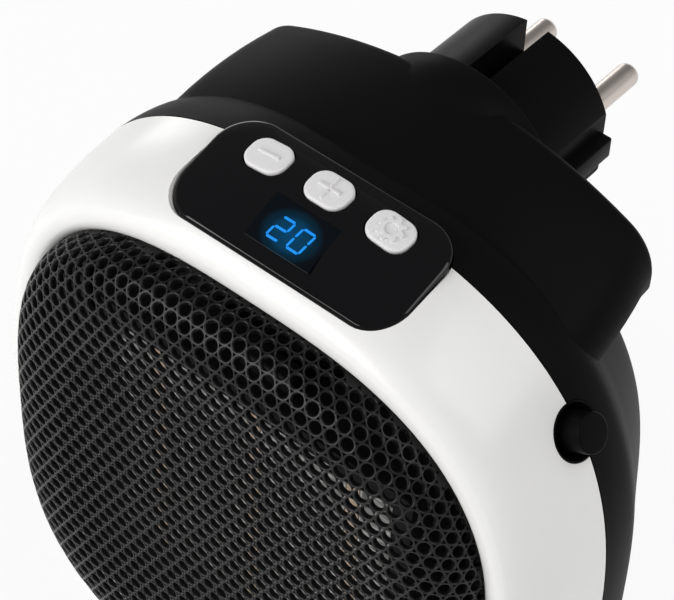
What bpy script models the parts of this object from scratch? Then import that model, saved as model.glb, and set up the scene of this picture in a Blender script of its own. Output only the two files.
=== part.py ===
"""Plug-in fan heater, modelled in metres with +Z up and its front towards -Y.

The origin is the centre of the plug's end face, where the heater meets the wall socket.
Most pieces hang on the case frame, whose own zero is the middle of the front grille:
there x runs to the right, y is the depth behind the grille's front, and z is the height
above the middle of the case.
"""

import math

import bmesh
import bpy
from mathutils import Matrix, Vector

# Case, seen from the front: a rounded square with the formula of a superellipse
CASE_HALF_WIDTH = 0.0634
CASE_HALF_HEIGHT = 0.0669
CASE_SQUARENESS = 2.67
CASE_WALL = 0.0024
CASE_BACK_DEPTH = 0.0665
CASE_STEPS = 48

# Opening of the white ring, which the grille fills, set in from the case's edge
RING_SIDE_WIDTH = 0.0096
RING_TOP_WIDTH = 0.0117
OPENING_HALF_WIDTH = CASE_HALF_WIDTH - RING_SIDE_WIDTH
OPENING_HALF_HEIGHT = CASE_HALF_HEIGHT - RING_TOP_WIDTH
OPENING_SQUARENESS = 2.92
RING_FRONT_DEPTH = 0.0103
RING_BACK_DEPTH = 0.0326
RING_LIP = 0.0034
# Growth from the opening to the case, and depth from the ring's front to its back
RING_OUTER_SHARES = (
    (0.00, 0.055), (0.12, 0.01), (0.34, 0.00), (0.52, 0.052), (0.66, 0.145), (0.79, 0.305),
    (0.88, 0.49), (0.955, 0.73), (1.00, 1.00),
)
RING_INNER_SHARES = ((0.66, 0.60), (0.50, 0.32))

# Depth from the housing's front to its back, and size against the case's own
HOUSING_TAPER_SHARES = (
    (0.00, 1.00), (0.10, 0.9975), (0.20, 0.9905), (0.28, 0.980), (0.31, 0.9735), (0.34, 0.9625),
    (0.40, 0.943), (0.87, 0.790), (0.94, 0.755), (0.985, 0.715), (1.00, 0.67),
)
CAVITY_TAPER_SHARES = (
    (0.00, 1.00), (0.14, 0.9985), (0.25, 0.989), (0.35, 0.973), (0.47, 0.940), (0.94, 0.788), (1.00, 0.745),
)

# Clearance between pieces, and how far a cutter runs past what it cuts
GAP = 0.0003
OVERRUN = 0.002
# Distance within which points are welded into one
WELD = 0.00001
# Facets round a thin peg
PEG_STEPS = 8

# Domed grille
GRILLE_SHEET = 0.0012
GRILLE_FLANGE = 0.0016
GRILLE_HOLE_PITCH = 0.0094
GRILLE_HOLE_WIDTH = 0.0087
GRILLE_FLAT_SHARE = 0.68
GRILLE_PIERCED_SHARE = 0.97
GRILLE_DOME_SHARES = (0.0, 0.42, 0.68, 0.86, 0.96, 1.0)
GRILLE_DOME_POWER = 2.7

# Hood that carries the plug, behind and above the case, and wider at its front
HOOD_FRONT_SETBACK = 0.0069
HOOD_SIDE_SETBACK = 0.0189
HOOD_FLARE = 0.0031
HOOD_PROUD = 0.0017
HOOD_HEIGHT = 0.0247
HOOD_FRONT_DEPTH = RING_BACK_DEPTH + HOOD_FRONT_SETBACK
HOOD_HALF_WIDTH = CASE_HALF_WIDTH - HOOD_SIDE_SETBACK
HOOD_TOP = CASE_HALF_HEIGHT + HOOD_PROUD
HOOD_BOTTOM = HOOD_TOP - HOOD_HEIGHT
HOOD_ARCH_RISE = 0.0113
HOOD_ARCH_RADIUS = (HOOD_HALF_WIDTH ** 2 + HOOD_ARCH_RISE ** 2) / (2 * HOOD_ARCH_RISE)
HOOD_SHOULDER_RADIUS = 0.0105
HOOD_SKIRT_RADIUS = 0.0010
HOOD_INNER_RADIUS = 0.0004
HOOD_EDGE_RADIUS = 0.0022
HOOD_FRONT_DROP = 0.0032
HOOD_ARCH_STEPS = 6
HOOD_CORNER_STEPS = 4

# Boss on the hood, whose front fades into the hood's top, and the pocket in it
BOSS_RADIUS = 0.0214
BOSS_PROUD = 0.0023
BOSS_LENGTH = 0.0168
BOSS_NOSE_RADIUS = 0.0174
# Way from the boss's rim to its nose, and how far its radius has fallen by then
BOSS_SHARES = ((0.0, 0.0), (0.18, 0.02), (0.36, 0.20), (0.54, 0.52), (0.75, 0.82), (1.0, 1.0))
BOSS_POCKET_DEPTH = 0.0032
BOSS_RIM_DEPTH = CASE_BACK_DEPTH + BOSS_PROUD

# Plug, about its own axis
PLUG_AXIS_DROP = 0.0192
PLUG_REACH = 0.0201
PLUG_AXIS_RISE = HOOD_TOP - PLUG_AXIS_DROP
PLUG_FACE_DEPTH = BOSS_RIM_DEPTH + PLUG_REACH
PLUG_RADIUS = 0.0182
PLUG_STEPS = 36
PLUG_FLAT_REACH = 0.0168
PLUG_RIB_REACH = 0.0192
PLUG_RIB_WIDTH = 0.0056
PLUG_RIB_BEVEL = 0.0008
PLUG_RIB_ROOT = 0.0126
PLUG_GROOVE_WIDTH = 0.0048
PLUG_GROOVE_DEPTH = 0.0077
PLUG_EDGE_BEVEL = 0.0003
PIN_RADIUS = 0.0024
PIN_SPACING = 0.0190
PIN_LENGTH = 0.0190
PIN_ROOT = 0.0090
PIN_TIP_BEVEL = 0.0014
PIN_STEPS = 12
PLUG_WEB = 0.0030
JOURNAL_RADIUS = 0.0117
RETAINER_RADIUS = 0.0146
RETAINER_THICKNESS = 0.0023

# Turn that lays a turned piece's axis towards the back
TURNED_TO_BACK = (-math.pi / 2, 0, 0)

# Control panel: a plate curved along its depth and, less, across its width
PANEL_HALF_WIDTH = 0.0251
PANEL_FRONT_SETBACK = 0.0041
PANEL_BACK_SETBACK = 0.0046
PANEL_FRONT_DEPTH = RING_FRONT_DEPTH + PANEL_FRONT_SETBACK
PANEL_BACK_DEPTH = RING_BACK_DEPTH + PANEL_BACK_SETBACK
PANEL_CORNER_RADIUS = 0.0072
PANEL_PROUD = 0.0018
PANEL_CREST_RISE = CASE_HALF_HEIGHT + PANEL_PROUD
PANEL_CREST_DEPTH = 0.0375
PANEL_CURVE_RADIUS = 0.0442
PANEL_ARCH_RADIUS = 0.1050
PANEL_THICKNESS = 0.0016
PANEL_LEDGE = 0.0008
PANEL_CORNER_STEPS = 4
PANEL_GRID_ACROSS = 8
PANEL_GRID_ALONG = 5

# Display
DISPLAY_HALF_WIDTH = 0.0070
DISPLAY_FRONT_DEPTH = 0.0168
DISPLAY_BACK_DEPTH = 0.0253
MODULE_MARGIN = 0.0006
MODULE_HEIGHT = 0.0039

# Panel buttons
BUTTON_NAMES = ("minus", "plus", "settings")
BUTTON_PITCH = 0.01345
BUTTON_DEPTH = 0.0304
BUTTON_WIDTH = 0.0083
BUTTON_LENGTH = 0.0072
BUTTON_CORNER_RADIUS = 0.0026
BUTTON_PROUD = 0.0005
BUTTON_TRAVEL = 0.0006
BUTTON_FLANGE = 0.0005
BUTTON_FLANGE_THICKNESS = 0.0007
# Room between the panel's underside, curved across a button, and the button's flat flange
BUTTON_FLANGE_SINK = 0.0004
BUTTON_STEM_RADIUS = 0.0011
BUTTON_EDGE_BEVEL = 0.0003
BUTTON_CORNER_STEPS = 3

# Control board, tilted as the panel's middle is
BOARD_HALF_WIDTH = 0.0215
BOARD_FRONT_DEPTH = 0.0175
BOARD_BACK_DEPTH = 0.0365
BOARD_THICKNESS = 0.0014
BOARD_DROP = 0.0080
BOARD_TAB_RADIUS = 0.0024
TACT_SIDE = 0.0058
TACT_HEIGHT = 0.0022
TACT_BODY_HEIGHT = 0.0013
TACT_CORE_RADIUS = 0.0016

# Round push switch on the right shoulder
SWITCH_AZIMUTH = math.radians(33.0)
SWITCH_SEAT_ANGLE = math.radians(37.2)
SWITCH_DEPTH = 0.0322
SWITCH_WELL_RADIUS = 0.0051
SWITCH_BORE_RADIUS = 0.0040
SWITCH_DISH = 0.0019
SWITCH_BEZEL_HEIGHT = 0.0050
SWITCH_RIM_SINK = 0.0002
SWITCH_BUTTON_RADIUS = 0.0036
SWITCH_BUTTON_PROUD = 0.0036
SWITCH_BUTTON_BEVEL = 0.0004
SWITCH_FLANGE_RADIUS = 0.0045
SWITCH_FLANGE_THICKNESS = 0.0010
SWITCH_TRAVEL = 0.0015
SWITCH_BODY_RADIUS = 0.0049
SWITCH_BODY_LENGTH = 0.0075
SWITCH_STEPS = 20

# Heating element: three ceramic strips with folded fins between them
HEATER_FRONT_DEPTH = 0.0120
HEATER_THICKNESS = 0.0100
HEATER_HALF_HEIGHT = 0.0295
HEATER_STRIP_PITCH = 0.0228
HEATER_STRIP_WIDTH = 0.0028
HEATER_SIDE_FIN_WIDTH = 0.0090
HEATER_FIN_SHEET = 0.0003
HEATER_FIN_PITCH = 0.0040
HEATER_FRAME_WALL = 0.0030
HEATER_FRAME_LIP = 0.0012
HEATER_LEG_RADIUS = 0.0024
CUTOUT_LENGTH = 0.0120
CUTOUT_WIDTH = 0.0046
CUTOUT_HEIGHT = 0.0036
CUTOUT_BEVEL = 0.0006

# Fan, on an axis a little below the middle of the case
FAN_AXIS_DROP = 0.0060
SHROUD_FRONT_DEPTH = 0.0332
SHROUD_PLATE = 0.0018
SHROUD_FIT = 0.0006
SHROUD_TOP_ROOM = 0.0139
SHROUD_HALF_HEIGHT = CASE_HALF_HEIGHT - SHROUD_TOP_ROOM
SHROUD_BORE_RADIUS = 0.0292
SHROUD_WALL = 0.0018
SHROUD_BACK_DEPTH = 0.0500
SHROUD_STRUT_WIDTH = 0.0040
SHROUD_STRUT_DEPTH = 0.0024
MOTOR_RADIUS = 0.0105
MOTOR_BACK_ROOM = 0.0064
MOTOR_CUP_WALL = 0.0014
MOTOR_SHAFT_RADIUS = 0.0010
MOTOR_CAP_RADIUS = 0.0045
MOTOR_CAP_HEIGHT = 0.0012
IMPELLER_DEPTH = 0.0080
IMPELLER_HUB_RADIUS = 0.0098
IMPELLER_TIP_CLEARANCE = 0.0010
IMPELLER_FACE_CLEARANCE = 0.0012
IMPELLER_BLADES = 7
IMPELLER_BLADE_SHEET = 0.0013
IMPELLER_HUB_WALL = 0.0016
IMPELLER_ROOT_PITCH = math.radians(42.0)
IMPELLER_TIP_PITCH = math.radians(24.0)
IMPELLER_STEPS = 24
IMPELLER_BLADE_DEPTH_SHARE = 0.9
IMPELLER_BLADE_STATIONS = 4
IMPELLER_SLEEVE_WALL = 0.0012

# Air intake in the back
INTAKE_BOSS_ROOM = 0.0047
INTAKE_EDGE_ROOM = 0.0055
INTAKE_TOP = PLUG_AXIS_RISE - BOSS_RADIUS - INTAKE_BOSS_ROOM
INTAKE_FOOT = INTAKE_EDGE_ROOM - CASE_HALF_HEIGHT * HOUSING_TAPER_SHARES[-1][1]
INTAKE_RADIUS = (INTAKE_TOP - INTAKE_FOOT) / 2
INTAKE_DROP = INTAKE_RADIUS - INTAKE_TOP
INTAKE_PLATE = 0.0020
INTAKE_LEDGE = 0.0016
INTAKE_SLOT_WIDTH = 0.0028
INTAKE_SLOT_PITCH = 0.0056
INTAKE_SLOT_ROUND = 0.0012
INTAKE_RIM = 0.0030
INTAKE_STEPS = 32

# Case screws
SCREW_ACROSS_SHARE = 0.473
SCREW_UP_SHARE = 0.478
SCREW_RADIUS = 0.0014
SCREW_HEAD_RADIUS = 0.0029
SCREW_HEAD_HEIGHT = 0.0017
SCREW_BITE = 0.0051
SCREW_SINK = 0.0006
SCREW_DRIVE_RADIUS = 0.0011
SCREW_DRIVE_DEPTH = 0.0008
POST_RADIUS = 0.0040
POST_LENGTH = 0.0128
POST_MEET_DEPTH = SHROUD_FRONT_DEPTH + POST_LENGTH
POST_STEPS = 10


def clear_scene():
    """Remove every object of the open scene."""
    for item in list(bpy.data.objects):
        bpy.data.objects.remove(item, do_unlink=True)


def make_collection(name):
    """Add a collection to the scene."""
    group = bpy.data.collections.new(name)
    bpy.context.scene.collection.children.link(group)
    return group


def make_material(name, colour, roughness, metallic=0.0):
    """Make a Principled material."""
    material = bpy.data.materials.new(name)
    material.use_nodes = True
    shader = material.node_tree.nodes["Principled BSDF"]
    shader.inputs["Base Color"].default_value = (*colour, 1.0)
    shader.inputs["Roughness"].default_value = roughness
    shader.inputs["Metallic"].default_value = metallic
    return material


def make_frame(name, location, parent=None):
    """Add an empty that carries pieces."""
    frame = bpy.data.objects.new(name, None)
    parts.objects.link(frame)
    frame.location = location
    frame.parent = parent
    return frame


def finish(bm, name, parent, material=None, location=(0, 0, 0), rotation=(0, 0, 0), solid=True):
    """Turn a bmesh into an object: a part if it has a material, else a cutter."""
    if solid:
        bmesh.ops.recalc_face_normals(bm, faces=bm.faces)
        if bm.calc_volume(signed=True) < 0:
            bmesh.ops.reverse_faces(bm, faces=bm.faces)
    mesh = bpy.data.meshes.new(name)
    bm.to_mesh(mesh)
    bm.free()
    item = bpy.data.objects.new(name, mesh)
    if material:
        mesh.materials.append(material)
        parts.objects.link(item)
    else:
        cutters.objects.link(item)
        item.hide_render = True
        item.display_type = "WIRE"
    item.parent = parent
    item.location = location
    item.rotation_euler = rotation
    return item


def combine(target, operand, operation="DIFFERENCE"):
    """Cut or join one object with another by a Boolean modifier."""
    modifier = target.modifiers.new(operand.name, "BOOLEAN")
    modifier.operation = operation
    modifier.solver = "EXACT"
    modifier.object = operand
    return modifier


def bevel(target, width, segments=2, angle=40.0):
    """Round the sharp edges of an object."""
    modifier = target.modifiers.new("rounded edges", "BEVEL")
    modifier.width = width
    modifier.segments = segments
    modifier.limit_method = "ANGLE"
    modifier.angle_limit = math.radians(angle)
    return modifier


def superellipse(half_width, half_height, squareness, count):
    """Points of a rounded square outline, from the formula of a superellipse."""
    points = []
    for step in range(count):
        angle = math.tau * step / count
        across = math.copysign(abs(math.cos(angle)) ** (2 / squareness), math.cos(angle))
        up = math.copysign(abs(math.sin(angle)) ** (2 / squareness), math.sin(angle))
        points.append((half_width * across, half_height * up))
    return points


def rounded_rectangle(half_width, half_length, radius, steps):
    """Points of a rectangle with round corners, counter-clockwise."""
    points = []
    for quarter, (side, end) in enumerate(((1, 1), (-1, 1), (-1, -1), (1, -1))):
        for step in range(steps + 1):
            angle = math.pi / 2 * (quarter + step / steps)
            points.append((side * (half_width - radius) + radius * math.cos(angle),
                           end * (half_length - radius) + radius * math.sin(angle)))
    return points


def loft(rings, closed=False):
    """Skin a row of outlines, which close on themselves or get a cap at each end."""
    bm = bmesh.new()
    loops = [[bm.verts.new(point) for point in ring] for ring in rings]
    pairs = list(zip(loops, loops[1:]))
    if closed:
        pairs.append((loops[-1], loops[0]))
    for near, far in pairs:
        for step in range(len(near)):
            after = (step + 1) % len(near)
            bm.faces.new((near[step], near[after], far[after], far[step]))
    if not closed:
        bm.faces.new(loops[0])
        bm.faces.new(loops[-1])
    return bm


def upright(outline, depth):
    """Stand a flat outline up, facing the front, at a depth."""
    return [(across, depth, up) for across, up in outline]


def flat(outline, height):
    """Lay a flat outline down at a height."""
    return [(across, along, height) for across, along in outline]


def moved(outline, across, up):
    """Shift a flat outline."""
    return [(x + across, z + up) for x, z in outline]


def plate(outlines, low, high, stand=False):
    """Solids of flat outlines: a filled 2D curve with a thickness, made a mesh.

    Lying outlines go from one height to another, standing ones from one depth to another.
    """
    curve = bpy.data.curves.new("outline", "CURVE")
    curve.dimensions = "2D"
    curve.fill_mode = "BOTH"
    curve.extrude = (high - low) / 2
    for outline in outlines:
        spline = curve.splines.new("POLY")
        spline.points.add(len(outline) - 1)
        spline.use_cyclic_u = True
        for point, (across, along) in zip(spline.points, outline):
            point.co = (across, along, 0, 1)
    drawn = bpy.data.objects.new("outline", curve)
    cutters.objects.link(drawn)
    mesh = bpy.data.meshes.new_from_object(drawn)
    bpy.data.objects.remove(drawn, do_unlink=True)
    bm = bmesh.new()
    bm.from_mesh(mesh)
    bpy.data.meshes.remove(mesh)
    bmesh.ops.remove_doubles(bm, verts=bm.verts, dist=WELD)
    turn = Matrix.Rotation(math.pi / 2, 4, "X") if stand else Matrix.Identity(4)
    middle = (low + high) / 2
    shift = Matrix.Translation((0, middle, 0) if stand else (0, 0, middle))
    bmesh.ops.transform(bm, matrix=shift @ turn, verts=bm.verts)
    return bm


def rod(bm, radius, front, back, steps, across=0.0, up=0.0):
    """Add a cylinder that lies along the depth."""
    stand = Matrix.Translation((across, (front + back) / 2, up)) @ Matrix.Rotation(-math.pi / 2, 4, "X")
    bmesh.ops.create_cone(bm, cap_ends=True, segments=steps, radius1=radius, radius2=radius,
                          depth=back - front, matrix=stand)
    return bm


def peg(bm, radius, low, high, steps, across=0.0, depth=0.0):
    """Add an upright cylinder."""
    bmesh.ops.create_cone(bm, cap_ends=True, segments=steps, radius1=radius, radius2=radius,
                          depth=high - low, matrix=Matrix.Translation((across, depth, (low + high) / 2)))
    return bm


def block(bm, half_width, front, back, low, high, across=0.0):
    """Add a box between two depths and two heights."""
    centre = Matrix.Translation((across, (front + back) / 2, (low + high) / 2))
    size = Matrix.Diagonal((half_width * 2, back - front, high - low, 1))
    bmesh.ops.create_cube(bm, size=1, matrix=centre @ size)
    return bm


def turned(profile, name, parent, material=None, steps=SWITCH_STEPS, location=(0, 0, 0), rotation=(0, 0, 0)):
    """Turn a profile of radius and height about the Z axis with a Screw modifier."""
    bm = bmesh.new()
    points = [bm.verts.new((radius, 0, height)) for radius, height in profile]
    for near, far in zip(points, points[1:]):
        bm.edges.new((near, far))
    if all(radius > 0 for radius, height in profile):
        bm.edges.new((points[-1], points[0]))
    mesh = bpy.data.meshes.new(name)
    bm.to_mesh(mesh)
    bm.free()
    item = bpy.data.objects.new(name, mesh)
    if material:
        mesh.materials.append(material)
        parts.objects.link(item)
    else:
        cutters.objects.link(item)
        item.hide_render = True
        item.display_type = "WIRE"
    item.parent = parent
    item.location = location
    item.rotation_euler = rotation
    screw = item.modifiers.new("turn", "SCREW")
    screw.steps = steps
    screw.render_steps = steps
    screw.use_merge_vertices = True
    screw.merge_threshold = WELD
    return item


def panel_rise(across, depth):
    """Height of the panel's top over the middle of the case."""
    along = PANEL_CURVE_RADIUS - math.sqrt(PANEL_CURVE_RADIUS ** 2 - (PANEL_CREST_DEPTH - depth) ** 2)
    sideways = PANEL_ARCH_RADIUS - math.sqrt(PANEL_ARCH_RADIUS ** 2 - across ** 2)
    return PANEL_CREST_RISE - along - sideways


def panel_turn(across, depth):
    """Rotation that stands a piece square to the panel at a place."""
    tilt = math.asin((PANEL_CREST_DEPTH - depth) / PANEL_CURVE_RADIUS)
    lean = math.asin(across / PANEL_ARCH_RADIUS)
    return (tilt, lean, 0)


def panel_slab(name, outline, above, below, material=None):
    """Curved sheet with a thickness, trimmed to an outline seen from above."""
    sheet = bmesh.new()
    margin = OVERRUN + above + below
    half_width = PANEL_HALF_WIDTH + margin
    half_length = (PANEL_BACK_DEPTH - PANEL_FRONT_DEPTH) / 2 + margin
    middle = (PANEL_FRONT_DEPTH + PANEL_BACK_DEPTH) / 2
    fit = Matrix.Translation((0, middle, 0)) @ Matrix.Diagonal((half_width, half_length, 1, 1))
    bmesh.ops.create_grid(sheet, x_segments=PANEL_GRID_ACROSS, y_segments=PANEL_GRID_ALONG, size=1, matrix=fit)
    for vert in sheet.verts:
        vert.co.z = panel_rise(vert.co.x, vert.co.y) + above
    slab = finish(sheet, name, case_frame, material, solid=False)
    thicken = slab.modifiers.new("thickness", "SOLIDIFY")
    thicken.thickness = above + below
    thicken.offset = -1
    prism = plate([outline], PANEL_CREST_RISE / 2, PANEL_CREST_RISE + above + OVERRUN)
    trim = finish(prism, name + "_trim", case_frame)
    combine(slab, trim, "INTERSECT")
    return slab


def panel_outline(grow):
    """Outline of the panel seen from above, grown by a clearance."""
    middle = (PANEL_FRONT_DEPTH + PANEL_BACK_DEPTH) / 2
    half_length = (PANEL_BACK_DEPTH - PANEL_FRONT_DEPTH) / 2
    points = rounded_rectangle(PANEL_HALF_WIDTH + grow, half_length + grow,
                               PANEL_CORNER_RADIUS + grow, PANEL_CORNER_STEPS)
    return [(across, middle + along) for across, along in points]


def display_outline(grow):
    """Outline of the display seen from above, grown by a clearance."""
    side = DISPLAY_HALF_WIDTH + grow
    return [(side, DISPLAY_BACK_DEPTH + grow), (-side, DISPLAY_BACK_DEPTH + grow),
            (-side, DISPLAY_FRONT_DEPTH - grow), (side, DISPLAY_FRONT_DEPTH - grow)]


def button_place(index):
    """Place of a panel button's foot on the panel's surface, and its turn."""
    across = (index - 1) * BUTTON_PITCH
    place = (across, BUTTON_DEPTH, panel_rise(across, BUTTON_DEPTH))
    return place, panel_turn(across, BUTTON_DEPTH)


def switch_place():
    """Place of the push switch's seat on the shoulder, and the turn of its axis."""
    across = CASE_HALF_WIDTH * math.cos(SWITCH_SEAT_ANGLE) ** (2 / CASE_SQUARENESS)
    up = CASE_HALF_HEIGHT * math.sin(SWITCH_SEAT_ANGLE) ** (2 / CASE_SQUARENESS)
    return (across, SWITCH_DEPTH, up), (0, math.pi / 2 - SWITCH_AZIMUTH, 0)


def case_outline(share, wall=0.0):
    """Outline of the case, scaled by a share and drawn in by a wall."""
    return superellipse((CASE_HALF_WIDTH - wall) * share, (CASE_HALF_HEIGHT - wall) * share,
                        CASE_SQUARENESS, CASE_STEPS)


def hood_outline(inset, drop, flare=0.0):
    """Outline of the hood: an arch, two shoulders, straight sides and a flat underside."""
    half_width = HOOD_HALF_WIDTH + flare - inset
    shoulder = HOOD_SHOULDER_RADIUS - inset
    arch = HOOD_ARCH_RADIUS - inset
    arch_centre = HOOD_TOP - drop - HOOD_ARCH_RADIUS
    shoulder_across = half_width - shoulder
    spread = math.asin(shoulder_across / (arch - shoulder))
    shoulder_up = arch_centre + (arch - shoulder) * math.cos(spread)
    skirt = max(HOOD_SKIRT_RADIUS - inset, HOOD_INNER_RADIUS)
    floor = HOOD_BOTTOM + inset
    half = []
    for step in range(HOOD_ARCH_STEPS // 2 + 1):
        angle = spread * 2 * step / HOOD_ARCH_STEPS
        half.append((arch * math.sin(angle), arch_centre + arch * math.cos(angle)))
    for step in range(1, HOOD_CORNER_STEPS + 1):
        angle = spread + (math.pi / 2 - spread) * step / HOOD_CORNER_STEPS
        half.append((shoulder_across + shoulder * math.sin(angle), shoulder_up + shoulder * math.cos(angle)))
    for step in range(HOOD_CORNER_STEPS):
        angle = math.pi / 2 * (1 + step / (HOOD_CORNER_STEPS - 1))
        half.append((half_width - skirt + skirt * math.sin(angle), floor + skirt + skirt * math.cos(angle)))
    mirrored = [(-across, up) for across, up in half[:0:-1]]
    return half + mirrored


def make_front_ring(material):
    """White ring: a hollow moulding that swells from the opening to the case's edge."""
    def outline(growth, depth):
        half_width = OPENING_HALF_WIDTH + growth * (CASE_HALF_WIDTH - OPENING_HALF_WIDTH)
        half_height = OPENING_HALF_HEIGHT + growth * (CASE_HALF_HEIGHT - OPENING_HALF_HEIGHT)
        squareness = OPENING_SQUARENESS + growth * (CASE_SQUARENESS - OPENING_SQUARENESS)
        return upright(superellipse(half_width, half_height, squareness, CASE_STEPS), depth)

    length = RING_BACK_DEPTH - RING_FRONT_DEPTH
    rings = [outline(growth, RING_FRONT_DEPTH + share * length) for growth, share in RING_OUTER_SHARES]
    rings.append(upright(case_outline(1.0, CASE_WALL), RING_BACK_DEPTH))
    rings += [outline(growth, RING_FRONT_DEPTH + share * length) for growth, share in RING_INNER_SHARES]
    lip_depth = ring_lip_depth()
    lip_growth = GRILLE_FLANGE / (CASE_HALF_WIDTH - OPENING_HALF_WIDTH)
    rings.append(outline(lip_growth, lip_depth))
    rings.append(outline(0.0, lip_depth))
    ring = finish(loft(rings, closed=True), "front_ring", case_frame, material)
    combine(ring, panel_pocket)
    combine(ring, panel_window)
    combine(ring, switch_well)
    return ring


def ring_lip_depth():
    """Depth of the back of the lip that holds the grille."""
    return RING_FRONT_DEPTH + RING_LIP


def opening_outline(share, depth, grow=0.0):
    """Outline of the ring's opening, scaled by a share and grown by a clearance."""
    return upright(superellipse(OPENING_HALF_WIDTH * share + grow, OPENING_HALF_HEIGHT * share + grow,
                                OPENING_SQUARENESS, CASE_STEPS), depth)


def make_front_grille(material):
    """Domed grille: a flat middle that rounds back to its rim, pierced in rows of holes."""
    dome_depth = RING_FRONT_DEPTH + RING_OUTER_SHARES[0][1] * (RING_BACK_DEPTH - RING_FRONT_DEPTH)
    flange_depth = ring_lip_depth() + GAP + GRILLE_SHEET
    rings = []
    for way in GRILLE_DOME_SHARES:
        share = GRILLE_FLAT_SHARE + (1 - GRILLE_FLAT_SHARE) * way
        fall = dome_depth * (1 - (1 - way ** GRILLE_DOME_POWER) ** (1 / GRILLE_DOME_POWER))
        rings.append(opening_outline(share, fall, -GAP * way))
    rings.append(opening_outline(1.0, flange_depth - GRILLE_SHEET, -GAP))
    rings.append(opening_outline(1.0, flange_depth - GRILLE_SHEET, GRILLE_FLANGE - GAP))
    rings.append(opening_outline(1.0, flange_depth, GRILLE_FLANGE - GAP))
    rings.append(opening_outline(1.0, flange_depth, -GAP - GRILLE_SHEET))
    for way in reversed(GRILLE_DOME_SHARES):
        share = GRILLE_FLAT_SHARE + (1 - GRILLE_FLAT_SHARE) * way
        inner_depth = dome_depth - GRILLE_SHEET
        fall = GRILLE_SHEET + inner_depth * (1 - (1 - way ** GRILLE_DOME_POWER) ** (1 / GRILLE_DOME_POWER))
        rings.append(opening_outline(share, fall, -(GAP + GRILLE_SHEET) * way))
    grille = finish(loft(rings), "front_grille", case_frame, material)
    combine(grille, make_hole_cutter())
    return grille


def make_hole_cutter():
    """Six-sided prisms on a hexagonal pattern, all those that lie inside the pierced field."""
    bm = bmesh.new()
    rise = GRILLE_HOLE_PITCH * math.sqrt(3) / 2
    half_width = OPENING_HALF_WIDTH * GRILLE_PIERCED_SHARE - GRILLE_HOLE_WIDTH / 2
    half_height = OPENING_HALF_HEIGHT * GRILLE_PIERCED_SHARE - GRILLE_HOLE_WIDTH / 2
    rows = int(half_height / rise)
    columns = int(half_width / GRILLE_HOLE_PITCH) + 1
    front = -OVERRUN
    back = ring_lip_depth()
    for row in range(-rows, rows + 1):
        for place in range(-columns, columns + 1):
            across = (place + 0.5 * (row % 2)) * GRILLE_HOLE_PITCH
            up = row * rise
            reach = abs(across / half_width) ** OPENING_SQUARENESS + abs(up / half_height) ** OPENING_SQUARENESS
            if reach > 1:
                continue
            turn = Matrix.Translation((across, (front + back) / 2, up)) @ Matrix.Rotation(math.pi / 2, 4, "X")
            bmesh.ops.create_cone(bm, cap_ends=True, segments=6, radius1=GRILLE_HOLE_WIDTH / 2,
                                  radius2=GRILLE_HOLE_WIDTH / 2, depth=back - front, matrix=turn)
    return finish(bm, "grille_holes", case_frame)


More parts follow.
